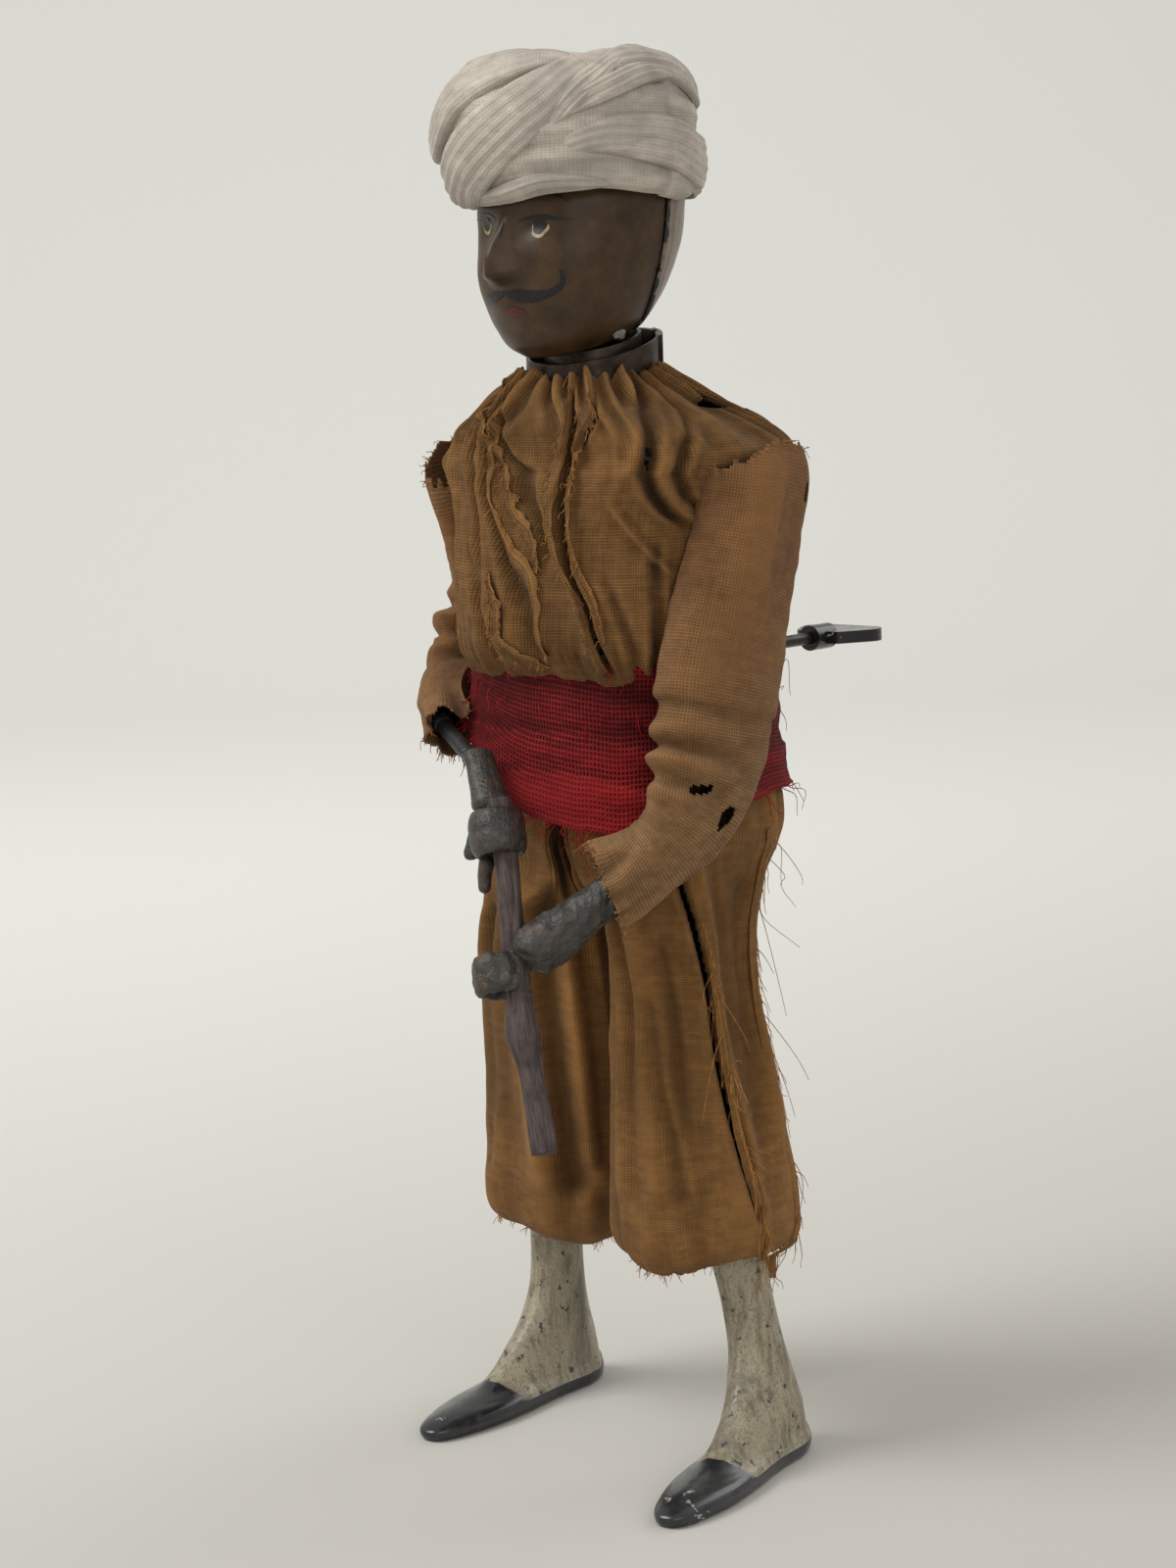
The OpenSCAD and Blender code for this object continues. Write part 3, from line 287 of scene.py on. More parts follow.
def seat(obj, body, material, replaced=()):
    """Gives a piece its material and, if one is named, its body, and hides the nodes it stands for."""
    obj.data.materials.clear()
    obj.data.materials.append(material)
    if body:
        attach(obj, body)
    if replaced:
        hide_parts(*replaced)
    return obj


# Finishes

class Graph:
    """A material's nodes, written as nested calls: each method adds a node and returns its output socket."""

    def __init__(self, name):
        self.material = bpy.data.materials.new(name)
        self.material.use_nodes = True
        self.tree = self.material.node_tree
        self.tree.nodes.clear()
        self.shader = self.tree.nodes.new("ShaderNodeBsdfPrincipled")
        out = self.tree.nodes.new("ShaderNodeOutputMaterial")
        self.tree.links.new(self.shader.outputs[0], out.inputs["Surface"])
        self.coords = self.tree.nodes.new("ShaderNodeTexCoord")

    def add(self, kind, out, settings=None, **inputs):
        """Adds a node, sets its properties and its inputs by name, and returns the output named."""
        node = self.tree.nodes.new(kind)
        for key, value in (settings or {}).items():
            setattr(node, key, value)
        for key, value in inputs.items():
            socket = node.inputs[int(key[1:])] if key[0] == "i" and key[1:].isdigit() else node.inputs[key]
            self.put(socket, value)
        return node.outputs[out]

    def put(self, socket, value):
        """Links a socket to an output, or sets its constant."""
        if isinstance(value, bpy.types.NodeSocket):
            self.tree.links.new(value, socket)
        elif hasattr(socket.default_value, "__len__") and not hasattr(value, "__len__"):
            socket.default_value = [value] * len(socket.default_value)
        elif hasattr(value, "__len__") and len(value) == 3 and len(socket.default_value) == 4:
            socket.default_value = (*value, 1)
        else:
            socket.default_value = value

    def axis(self, source, number):
        """One coordinate of the object's or the UV space."""
        node = self.tree.nodes.new("ShaderNodeSeparateXYZ")
        self.put(node.inputs[0], self.coords.outputs[source])
        return node.outputs[number]

    def noise(self, scale, detail, rough, stretch=(1, 1, 1), source="Object", distortion=0.0):
        """Noise with features of one over scale, in metres, in coordinates that are stretched along their axes."""
        where = self.add("ShaderNodeMapping", 0, Vector=self.coords.outputs[source], Scale=stretch)
        return self.add("ShaderNodeTexNoise", 0, Vector=where, Scale=scale, Detail=detail, Roughness=rough,
                        Distortion=distortion)

    def ramp(self, value, *stops):
        """A value turned into colours at stops of position and colour."""
        node = self.tree.nodes.new("ShaderNodeValToRGB")
        self.tree.links.new(value, node.inputs[0])
        band = node.color_ramp
        while len(band.elements) < len(stops):
            band.elements.new(0.5)
        for element, (position, colour) in zip(band.elements, stops):
            element.position = position
            element.color = (*colour, 1) if hasattr(colour, "__len__") else (colour, colour, colour, 1)
        return node.outputs[0]

    def clouded(self, value, colour, *stops):
        """A colour made lighter and darker along a value, by stops of position and factor."""
        return self.ramp(value, *[(position, tint(colour, factor)) for position, factor in stops])

    def maths(self, how, a, b=0.0):
        """A sum on one or two values."""
        return self.add("ShaderNodeMath", 0, {"operation": how}, i0=a, i1=b)

    def total(self, a, b, share=1.0):
        """One value plus a share of another."""
        return self.maths("ADD", a, b if share == 1.0 else self.maths("MULTIPLY", b, share))

    def mix(self, factor, a, b):
        """Two colours mixed."""
        return self.add("ShaderNodeMix", 2, {"data_type": "RGBA"}, i0=factor, i6=a, i7=b)

    def layer(self, base, value, low, high, amount, colour):
        """A colour laid over the base: not where value is under low, and by amount where it is over high. With
        amounts given as a pair, the first holds under low."""
        first, last = amount if hasattr(amount, "__len__") else (0.0, amount)
        return self.mix(self.ramp(value, (low, first), (high, last)), base, colour)

    def field(self, name):
        """A mesh's own value at each point."""
        return self.add("ShaderNodeAttribute", "Fac", {"attribute_name": name})

    def finish(self, colour, rough, bump=None, strength=0.3, distance=0.1, **sockets):
        """Sets colour, roughness, a bump whose full depth is distance in mm, and constants on the shader."""
        self.put(self.shader.inputs["Base Color"], colour)
        self.put(self.shader.inputs["Roughness"], rough)
        if bump is not None:
            self.put(self.shader.inputs["Normal"], self.add("ShaderNodeBump", 0, Height=bump, Strength=strength,
                                                            Distance=distance * MM))
        for key, value in sockets.items():
            self.put(self.shader.inputs[key.replace("_", " ")], value)
        return self.material


def tint(colour, factor):
    """A colour made lighter or darker."""
    return tuple(min(1.0, c * factor) for c in colour)


def weave(g, pitch):
    """Height of a plain weave from the cloth's own UV: warp and weft are sines, and the higher one shows. Noise
    moves both by up to a third of a turn."""
    shift = g.maths("MULTIPLY", g.noise(900, 2, 0.5, source="UV"), 0.35 * 2 * math.pi)
    turn = 2 * math.pi / (pitch * MM)
    warp, weft = (g.maths("SINE", g.total(shift, g.axis("UV", number), turn)) for number in (0, 1))
    return g.maths("MAXIMUM", warp, weft)


def cloth(name, colour, pitch, rough, worn, dark, streak, sheen, bump, gaps=0.6, low=None):
    """Woven cotton: weave bump, slubs along the thread and stains, with painted light from the mesh's fold field: a
    painted highlight on the crests and painted shade in the hollows. low is a second colour that takes over below the
    elbow."""
    g = Graph(name)
    height = weave(g, pitch)
    # worn sets the paler slubs and the painted highlight on the crests; dark sets stains, weave gaps and dark slubs,
    # and with 0.8 the painted shade in the hollows.
    light, deep = tint(colour, worn), tint(colour, dark)
    base = g.clouded(g.noise(90, 4, 0.6), colour, (0.34, 0.72), (0.5, 1), (0.68, 1.28))
    if low:
        base = g.layer(base, g.axis("Object", 2), 0.094, 0.128, (1.0, 0.0), low)
    base = g.layer(base, g.noise(330, 4, 0.65, (1, 1, 2.2)), 0.35, 0.6, (0.45, 0.0), deep)
    slub = g.noise(1.0, 3, 0.6, (1200, 130, 1), "UV")
    base = g.layer(base, slub, 0.42, 0.72, streak, light)
    base = g.layer(base, g.noise(1.0, 3, 0.6, (130, 1200, 1), "UV"), 0.42, 0.72, streak, deep)
    base = g.layer(base, height, 0.2, 0.75, (gaps, 0.0), deep)
    # Painted light: painted shade in the hollows and painted highlight on the crests, from the mesh's fold field.
    fold = g.field("fold")
    base = g.layer(base, fold, 0.0, 0.5, (0.62, 0.0), tint(colour, dark * 0.8))
    base = g.layer(base, fold, 0.55, 1.0, 0.42, light)
    lumps = g.total(g.maths("MULTIPLY", height, 0.5), slub, 1.2)
    return g.finish(base, rough, lumps, bump, pitch * 0.35, Sheen_Weight=sheen, Sheen_Roughness=0.6,
                    Specular_IOR_Level=0.12)


def yarn(name, colour):
    """Loose cotton yarn: one colour that varies along the threads."""
    g = Graph(name)
    shade = g.noise(700, 3, 0.6)
    return g.finish(g.clouded(shade, colour, (0.35, 0.7), (0.65, 1.9)), 0.9, shade, 0.3, 0.03, Specular_IOR_Level=0.1)


def paint(name, colour, under, chip=0.6, rough=(0.28, 0.5), gloss=0.25, mottle=(0.6, 1.35), size=220, edge=True):
    """Old enamel on metal: mottled colour, hairline scratches, and chips down to the metal at the worn edges."""
    g = Graph(name)
    cloud = g.noise(size, 5, 0.62)
    base = g.clouded(cloud, colour, (0.3, mottle[0]), (0.52, 1), (0.72, mottle[1]))
    base = g.layer(base, g.noise(size * 7, 2, 0.5), 0.68, 0.76, 0.6, tint(colour, 0.35))
    scratch = g.noise(size * 2.5, 4, 0.7, (1, 1, 7), distortion=0.6)
    base = g.layer(base, scratch, 0.66, 0.74, 0.35, tint(colour, 1.7))
    flake = g.noise(size * 1.6, 5, 0.6, distortion=0.4)
    wear = g.total(flake, g.field("edge"), 0.34) if edge else flake
    bare = g.ramp(wear, (chip, 0.0), (chip + 0.015, 1.0))
    base = g.mix(bare, base, under)
    shine = g.ramp(cloud, (0.35, rough[0]), (0.7, rough[1]))
    relief = g.maths("SUBTRACT", g.maths("MULTIPLY", cloud, 0.4), bare)
    return g.finish(base, g.mix(bare, shine, (0.55, 0.55, 0.55)), relief, 0.35, 0.12, Coat_Weight=gloss,
                    Coat_Roughness=0.22, Specular_IOR_Level=0.3)


def metal(name, colour, tarnish, rough):
    """Bare metal: tarnish in clouds, fine grain, and duller spots."""
    g = Graph(name)
    cloud, fine, spots = g.noise(260, 5, 0.6), g.noise(2340, 3, 0.6), g.noise(780, 3, 0.55)
    base = g.layer(colour, cloud, 0.36, 0.66, 1.0, tarnish)
    base = g.layer(base, spots, 0.6, 0.72, 0.5, tint(tarnish, 0.5))
    base = g.layer(base, fine, 0.4, 0.6, (0.25, 0.0), tint(colour, 0.6))
    shine = g.ramp(cloud, (0.35, rough[0]), (0.68, rough[1]))
    return g.finish(base, shine, g.total(fine, spots, 0.8), 0.18, 0.05, Metallic=0.9)


def cast_lead(name, colour, brown, green):
    """Cast lead under worn paint: grey metal, brown and green remains in the hollows, bright rubbed points."""
    g = Graph(name)
    cloud, other = g.noise(300, 5, 0.65), g.noise(520, 4, 0.6)
    base = g.clouded(cloud, colour, (0.32, 0.45), (0.5, 1), (0.7, 1.5))
    base = g.layer(base, other, 0.5, 0.62, 0.75, brown)
    base = g.layer(base, other, 0.3, 0.4, (0.5, 0.0), green)
    base = g.layer(base, g.noise(900, 3, 0.6, (1, 1, 3)), 0.66, 0.74, 0.5, tint(colour, 3.0))
    lumps = g.total(cloud, g.total(other, g.noise(2300, 2, 0.5)))
    return g.finish(base, g.ramp(cloud, (0.3, 0.36), (0.7, 0.62)), lumps, 0.7, 0.3, Metallic=0.25, Coat_Weight=0.1,
                    Coat_Roughness=0.3)


def stocking_paint(name, ivory, black):
    """Leg enamel from the piece's own slipper field: ivory with long grey and ochre streaks and dark chips above the
    border, and glossy charcoal with bright rubbed chips below it."""
    g = Graph(name)
    wobble = g.maths("SUBTRACT", g.noise(420, 3, 0.5), 0.5)
    below = g.ramp(g.total(g.field("slipper"), wobble, 0.5), (0.45, 0.0), (0.55, 1.0))
    cloud, streak = g.noise(420, 5, 0.65, (1, 1, 0.25)), g.noise(900, 4, 0.6, (1, 1, 0.12))
    upper = g.clouded(cloud, ivory, (0.3, 0.5), (0.46, 1), (0.7, 1.15))
    upper = g.layer(upper, streak, 0.5, 0.68, 0.75, (0.13, 0.095, 0.05))
    upper = g.layer(upper, g.noise(150, 4, 0.65, (1, 1, 0.3)), 0.5, 0.62, 0.7, (0.12, 0.1, 0.07))
    upper = g.layer(upper, g.noise(2400, 3, 0.6), 0.5, 0.66, 0.6, (0.10, 0.085, 0.06))
    hole = g.ramp(g.noise(700, 3, 0.5), (0.645, 0.0), (0.665, 1.0))
    upper = g.mix(hole, upper, (0.03, 0.04, 0.045))
    flake = g.ramp(g.total(g.noise(330, 5, 0.65), g.field("edge"), 0.14), (0.72, 0.0), (0.73, 1.0))
    shoe = g.mix(flake, g.clouded(cloud, black, (0.35, 1), (0.7, 2.2)), (0.33, 0.32, 0.3))
    base = g.mix(below, upper, shoe)
    shine = g.mix(below, g.ramp(cloud, (0.3, 0.6), (0.7, 0.42)), g.ramp(cloud, (0.3, 0.16), (0.7, 0.34)))
    relief = g.maths("SUBTRACT", g.maths("MULTIPLY", streak, 0.5), g.total(hole, flake, 0.7))
    return g.finish(base, shine, relief, 0.35, 0.1, Coat_Weight=0.2, Coat_Roughness=0.2)


def bark(name, colour):
    """A dry peeled twig: long fibres, dark splits and pale worn bands."""
    g = Graph(name)
    fibre = g.noise(1.0, 5, 0.65, (3500, 240, 1), "UV", 0.3)
    knot = g.noise(260, 4, 0.6)
    base = g.clouded(fibre, colour, (0.34, 0.3), (0.5, 1), (0.72, 1.6))
    base = g.layer(base, knot, 0.48, 0.64, 0.75, tint(colour, 0.35))
    base = g.layer(base, g.noise(1.0, 2, 0.5, (1700, 60, 1), "UV"), 0.62, 0.66, 0.9, tint(colour, 0.12))
    return g.finish(base, 0.72, g.total(fibre, knot), 0.6, 0.25)


def felt(name, colour):
    """Red felt: short matted fibres."""
    g = Graph(name)
    fur = g.noise(2600, 4, 0.7)
    base = g.clouded(fur, colour, (0.35, 0.55), (0.65, 1.3))
    base = g.layer(base, g.noise(240, 3, 0.5), 0.4, 0.7, (0.4, 0.0), tint(colour, 0.5))
    return g.finish(base, 0.95, fur, 0.6, 0.15, Sheen_Weight=0.5)


def decal(name, colour):
    """Brushed-on paint, a little uneven."""
    g = Graph(name)
    stroke = g.noise(1500, 3, 0.6)
    base = g.clouded(stroke, colour, (0.35, 0.7), (0.65, 1.3))
    return g.finish(base, 0.35, stroke, 0.2, 0.03, Coat_Weight=0.1, Coat_Roughness=0.3, Specular_IOR_Level=0.3)


def grounds(name, near, far):
    """Paper in two greys mixed by its own pale field, which is painted light: painted shade in front and to the right,
    paler far behind.
    """
    g = Graph(name)
    return g.finish(g.mix(g.field("pale"), near, far), 0.9, g.noise(900, 3, 0.5), 0.05, 0.05)


# Head

HEAD_ROWS = np.array([
    # share of height, half width, half depth, centre in Y; the last row closes the crown
    [0.0, 6.2, 7.2, -1.5], [0.06, 8.2, 9.8, -1.3], [0.16, 9.9, 12.1, -1.1], [0.3, 11.4, 13.8, -0.8],
    [0.45, 12.5, 14.7, -0.3], [0.62, 13.2, 14.9, 0.0], [0.78, 13.2, 14.5, 0.2], [0.9, 11.7, 12.7, 0.3],
    [1.0, 8.1, 9.0, 0.4]])
SEAM_Y = 4.4  # where the two halves of the head meet
FACE_X = 0.9  # the middle of the features, a little to the left
HEAD_MIDDLE = np.array([0, HEAD_Y, 175])
PAINT_LIFT = 0.07  # how far the painted features stand off the face


def head_point(angle, share, lift=0.0):
    """A point of the pressed head. Round the head the rows are superellipses whose half sizes follow a spline in
    height. Bells on the height and on the distance from the face's middle move it in or out from the axis: two for
    the nose, pairs for nostrils, eye hollows and cheeks, and single ones for brow, lips and chin. The jaw rises
    towards the back by a share of the depth."""
    row = spline(HEAD_ROWS[:, 0], HEAD_ROWS[:, 1:], share)
    c, s = np.cos(angle), np.sin(angle)
    x = row[..., 0] * np.sign(c) * np.abs(c) ** 0.92
    y = row[..., 1] * np.sign(s) * np.abs(s) ** 0.92
    z = CHIN_Z + share * HEAD_H + (1 - share) * 0.25 * (y + 15) * 0.9
    front = smoothstep(0.1, -0.5, s)
    off = x - FACE_X
    h = z - CHIN_Z - 0.10 * off
    nose = smoothstep(22.8, 15.2, h) * smoothstep(11.2, 13.4, h)
    wide = 1.15 + 1.0 * bump(h, 14.2, 2.6)
    out = 2.9 * nose * bump(off, 0, wide) + 0.5 * nose * bump(off, 0, 2.9)
    for depth, high, tall, aside, wide in ((0.55, 13.4, 0.9, 1.9, 0.8), (-0.75, 20.0, 2.3, 4.6, 2.5),
                                           (0.5, 14.0, 3.4, 7.0, 3.2)):
        out = out + depth * bump(h, high, tall) * (bump(off, aside, wide) + bump(off, -aside, wide))
    for depth, high, tall, wide in ((0.35, 23.2, 1.6, 8), (0.65, 9.0, 1.6, 3.4), (-0.35, 6.2, 1.1, 3.4),
                                    (0.7, 2.9, 2.4, 3.8)):
        out = out + depth * bump(h, high, tall) * bump(off, 0, wide)
    out = out * front + lift
    away = np.hypot(x, y) + 1e-9
    return np.stack([x + out * x / away, row[..., 2] + y + out * y / away, z], -1)


def in_figure(points):
    """Turns a point of the head's own frame to where the head looks, and sets it on the neck."""
    c, s = math.cos(-HEAD_TURN), math.sin(-HEAD_TURN)
    x, y = points[..., 0], points[..., 1]
    return np.stack([x * c - y * s, x * s + y * c + HEAD_Y, points[..., 2]], -1)


def on_face(off, high, lift):
    """Points of the face at distances from its middle and heights over the chin, found by Newton steps."""
    off, high = np.broadcast_arrays(np.asarray(off, float), np.asarray(high, float))
    angle = -np.pi / 2 + off / 14
    share = np.clip(high / HEAD_H, 0.02, 0.98)
    want = np.stack([off + FACE_X, high + CHIN_Z], -1)
    for _ in range(14):
        here = head_point(angle, share)[..., [0, 2]]
        by_angle = (head_point(angle + 1e-4, share)[..., [0, 2]] - here) / 1e-4
        by_share = (head_point(angle, share + 1e-4)[..., [0, 2]] - here) / 1e-4
        miss = want - here
        det = by_angle[..., 0] * by_share[..., 1] - by_angle[..., 1] * by_share[..., 0]
        angle = angle + 0.8 * (miss[..., 0] * by_share[..., 1] - miss[..., 1] * by_share[..., 0]) / det
        share = share + 0.8 * (by_angle[..., 0] * miss[..., 1] - by_angle[..., 1] * miss[..., 0]) / det
    return head_point(angle, np.clip(share, 0, 1), lift)


def ribbon_path(middle, width, count):
    """A flat curve through points, its unit normal, and a width that follows a spline along it."""
    path = resample(np.c_[middle, np.zeros(len(middle))], count)[:, :2]
    wide = spline(np.linspace(0, 1, len(width)), width, np.linspace(0, 1, count))
    tangent = unit(np.gradient(path, axis=0))
    return path, np.stack([-tangent[:, 1], tangent[:, 0]], -1), wide[:, None]


def stroke(name, middle, width):
    """A brush stroke on the face: a ribbon of five lines along a path, as wide as its width says at each point."""
    path, side, wide = ribbon_path(middle, width, 40)
    across = np.linspace(-0.5, 0.5, 5)
    flat = path[:, None] + side[:, None] * (across * wide)[..., None]
    rise = PAINT_LIFT * (1 - (2 * across) ** 4 * 0.45) + 0 * wide
    points = in_figure(on_face(flat[..., 0], flat[..., 1], rise))
    return grid_surface(name, points, closed=False, about=HEAD_MIDDLE)


def spot(name, centre, radius_x, radius_y, lift=PAINT_LIFT):
    """A brushed spot: rings about a centre, whose outline wavers by sines."""
    rng = np.random.default_rng(3)
    angle = circle(28)
    waver = 1 + 0.07 * np.sin(3 * angle + rng.uniform(0, 6)) + 0.05 * np.sin(5 * angle + rng.uniform(0, 6))
    reach = np.linspace(0.02, 1, 6)[:, None]
    points = in_figure(on_face(centre[0] + radius_x * reach * waver * np.cos(angle),
                               centre[1] + radius_y * reach * waver * np.sin(angle), lift))
    return grid_surface(name, points, caps=(True, False), about=HEAD_MIDDLE)


def seam_share(points):
    """How far behind the seam a point of the head lies, in mm. The seam leans back a little towards the crown."""
    return points[..., 1] - (SEAM_Y + 0.035 * (points[..., 2] - 174))


def seam_angle(share, low, high, rising):
    """The angle at which each row of the head meets the seam, by bisection between two angles."""
    low, high = np.full(len(share), low), np.full(len(share), high)
    for _ in range(30):
        middle = (low + high) / 2
        behind = seam_share(head_point(middle, share)) > 0
        low, high = np.where(behind == rising, low, middle), np.where(behind == rising, middle, high)
    return low


def shell_of_head(name, back):
    """The face or the back of the head: a grid round the part of the head on its side of the seam. Each row starts
    and ends where it meets the seam."""
    share = np.linspace(0.0, 1.0, 86)
    right = seam_angle(share, -0.2, np.pi / 2, True)
    left = seam_angle(share, np.pi / 2, np.pi + 0.2, False)
    start, end = (right, left) if back else (left - 2 * np.pi, right)
    t = np.linspace(0, 1, 70 if back else 230)
    angle = start[:, None] + (end - start)[:, None] * t
    share = share[:, None] + 0 * angle
    edge_distance = np.minimum(t, 1 - t) * (end - start)[:, None] * 13
    lift = 0.12 * bump(edge_distance, 0, 0.5)
    if back:
        lift = 0.28 + 0.4 * bump(edge_distance, 0.45, 0.5) + 0.12 * bump(edge_distance, 2.4, 0.5)
    points = in_figure(head_point(angle, share, lift))
    points = points + unit(points - HEAD_MIDDLE) * (0.06 * ripple(angle * 13, share * 31, 5, 1.6))[..., None]
    shore = np.exp(-edge_distance / 1.7) + 0.5 * np.exp(-share * HEAD_H / 1.2)
    obj = grid_surface(name, points, closed=False, fields={"edge": np.clip(shore, 0, 1)}, about=HEAD_MIDDLE)
    thicken(obj, sizes()["tin"])
    return obj


# Turban

TURBAN_FORM = np.array([(14.6, 1.4), (15.8, 0.3), (17.4, 0.8), (18.4, 3.2), (19.0, 7.0), (18.9, 11.5), (17.9, 15.4),
                        (15.6, 18.4), (12.4, 20.0), (8.0, 20.2), (4.6, 19.7), (2.2, 19.5), (0.08, 19.4)])
TURBAN_X, TURBAN_Y = -0.7, -8.7
TURBAN_Z = 183.0
TURBAN_RADIUS = 20.0  # turns an angle round the turban into a run in mm
TURBAN_RISE = 40.0  # turns a share of the turban's form into a run in mm
TURBAN_WRAPS = [
    # name, places along the middle as degrees and share, widths, heights, pleats, seed, lean
    ("wrap_rim", [(-125, .075), (-112, .07), (-93.8, .065), (-77, .085), (-64, .1), (-50, .1), (-30, .085)],
     (0.6, 2.6, 3.2, 3.4, 2.6, 0.8), (0.3, 1.0, 1.2, 1.1, 0.4), 2.0, 71),
    ("wrap_wide", [(-135, .09), (-118, .12), (-100, .2), (-86, .275), (-72.6, .36), (-60, .44), (-50, .52),
                   (-40, .6)],
     (4, 8, 9.5, 9.5, 8.5, 6.5, 3.5), (0.5, 1.5, 1.9, 1.8, 1.2, 0.4), 1.1, 72, 0.2),
    ("wrap_front", [(-64, .28), (-54.2, .38), (-46.5, .45), (-34.7, .54), (-20, .62)],
     (1.0, 3.4, 4.2, 3.4, 1.0), (0.2, 0.9, 1.1, 0.8, 0.2), 1.8, 73),
    ("wrap_side", [(-62, .33), (-44.7, .41), (-30.4, .465), (-11.3, .52), (5, .53), (20, .5)],
     (1.0, 3.0, 3.8, 3.8, 2.6, 1.0), (0.2, 0.9, 1.2, 1.0, 0.6, 0.2), 1.6, 74),
    ("wrap_top_left", [(-150, .25), (-123, .33), (-110, .43), (-98, .49), (-84, .54), (-65, .585), (-45, .6)],
     (3, 6, 7, 6.5, 5, 2.5), (0.4, 1.3, 1.7, 1.5, 0.9, 0.3), 1.4, 75, -0.15),
    ("wrap_lobe_right", [(-38, .55), (-20, .585), (-5, .6), (10, .58), (24, .51), (40, .4)],
     (2.5, 6.0, 7.5, 7.5, 6, 2.5), (0.3, 0.8, 1.0, 0.9, 0.7, 0.3), 1.2, 76, 0.15),
    ("wrap_low_right", [(-58, .22), (-40, .27), (-20, .27), (0, .25), (20, .21), (45, .2), (70, .24)],
     (2.0, 6.0, 7.5, 7.5, 6.0, 3.0), (0.2, 0.8, 1.1, 1.0, 0.8, 0.3), 1.3, 77),
    ("wrap_rear", [(60, .2), (95, .3), (130, .4), (160, .36), (190, .28), (215, .2)],
     (4, 9, 10, 9, 7, 3), (0.4, 1.2, 1.5, 1.3, 0.9, 0.3), 1.2, 78),
    ("wrap_rear_low", [(30, .12), (70, .14), (110, .2), (150, .16), (190, .1), (225, .08)],
     (3, 6, 7, 6, 5, 2), (0.3, 0.9, 1.1, 1.0, 0.7, 0.3), 1.6, 79)]


def turban_point(angle, share):
    """A point of the turban's form: a profile of radius and height carried round the head, drawn in below on the
    right, with two lobes on top and a dip between them."""
    stations = arc_lengths(TURBAN_FORM)
    form = spline(stations / stations[-1], TURBAN_FORM, share)
    radius, height = form[..., 0], form[..., 1]
    toward = np.cos(angle - math.radians(40))
    away = np.cos(angle + math.radians(135))
    top = smoothstep(10, 20, height)
    low = smoothstep(9, 1, height)
    height = height - top * (0.7 * bump(toward, 0.2, 0.22) + 0.8 * smoothstep(0.3, 1, toward))
    height = height + low * (-1.5 * toward**2 + 0.7)
    radius = radius * (1 - 0.05 * low * away - 0.05 * smoothstep(0, 1, toward)) + top * (0.5 * toward - 0.3 * away)
    return np.stack([radius * np.cos(angle) + TURBAN_X, radius * np.sin(angle) + TURBAN_Y, TURBAN_Z + height], -1)


def off_turban(angle, share, lift):
    """Points that stand off the turban's form, along its unit normal from its two slopes."""
    e = 1e-3
    by_angle = turban_point(angle + e, share) - turban_point(angle - e, share)
    by_share = turban_point(angle, np.minimum(share + e, 1)) - turban_point(angle, np.maximum(share - e, 0))
    return turban_point(angle, share) + unit(np.cross(by_angle, by_share)) * lift[..., None]


def wrap(name, middle, width, height, pleats, seed, lean=0.0):
    """One wrap of cloth over the turban. Its middle line runs through angle and share of the form; across it, the
    cloth stands off the form by an arch with steep edges, higher on one side by its lean, and carries pleats along
    it. Both ends are tucked under."""
    count = 150
    rounds, side, wide = ribbon_path(np.asarray(middle) * [math.radians(1) * TURBAN_RADIUS, TURBAN_RISE], width, count)
    t = np.linspace(0, 1, count)[:, None]
    tall = spline(np.linspace(0, 1, len(height)), height, t[:, 0])[:, None]
    w = np.linspace(-1, 1, 46)[None]
    place = rounds[:, None] + side[:, None] * (w * wide / 2)[..., None]
    angle, share = place[..., 0] / TURBAN_RADIUS, np.clip(place[..., 1] / TURBAN_RISE, 0.004, 0.995)
    arch = np.sqrt(np.clip(1 - np.abs(w) ** 6, 0, 1)) * (1 + lean * w)
    fade = smoothstep(0, 0.06, t) * smoothstep(1, 0.94, t)
    drift = 3 * ripple(t * 20 + 0 * w, 0 * w, seed + 1, 3)
    fine = 0.06 * np.sin(w * wide * 1.9 * pleats + drift) + 0.16 * ripple(t * 9 + 0 * w, w * wide * 0.9, seed, 0.8, 2)
    fine = fine + 0.10 * ripple(t * 24 + 0 * w, w * wide * 0.5, seed + 2, 1.0)
    lift = (tall * arch + fine * np.clip(arch * 2, 0, 1)) * fade - 0.35 * (1 - fade) - 0.3 * (np.abs(w) > 0.995)
    # Painted light: painted highlight on the pleat crests, painted shade along the wrap's edges and in the pleat
    # hollows.
    fold = 0.5 + 1.0 * fine + 0.5 * (arch - 0.9)
    return grid_surface(name, off_turban(angle, share, lift), closed=False, fields={"fold": np.clip(fold, 0, 1)},
                        about=(0, HEAD_Y, TURBAN_Z + 9))


def turban_body(name):
    """The wound cloth under the wraps: the form with long creases that follow the winding, and a slack rim."""
    angle = circle(300)[None]
    share = np.linspace(0, 1, 120)[:, None]
    run = angle * TURBAN_RADIUS + 0 * share
    rise = share * TURBAN_RISE + 2.2 * np.sin(angle - 0.6)
    long = 0.12 * np.sin(rise * 1.35 + 1.5 * np.sin(run * 0.09)) * smoothstep(0.03, 0.2, share)
    fine = 0.25 * ripple(run * 0.16, rise * 0.9, 11, 0.8, 2) + 0.04 * np.sin(rise * 4.4 + 2 * np.sin(run * 0.13))
    soft = 0.5 * ripple(run * 0.5, rise * 0.5, 12, 2.2, 2)
    lift = (long + fine + soft) * smoothstep(0, 0.06, share) * smoothstep(1, 0.9, share)
    points = off_turban(*np.broadcast_arrays(angle, share), lift)
    # The field is painted light: painted shade in the long creases, painted highlight on their ridges.
    return grid_surface(name, points, caps=(True, True), fields={"fold": np.clip(0.5 + 1.1 * (long + fine), 0, 1)})


# Clothes

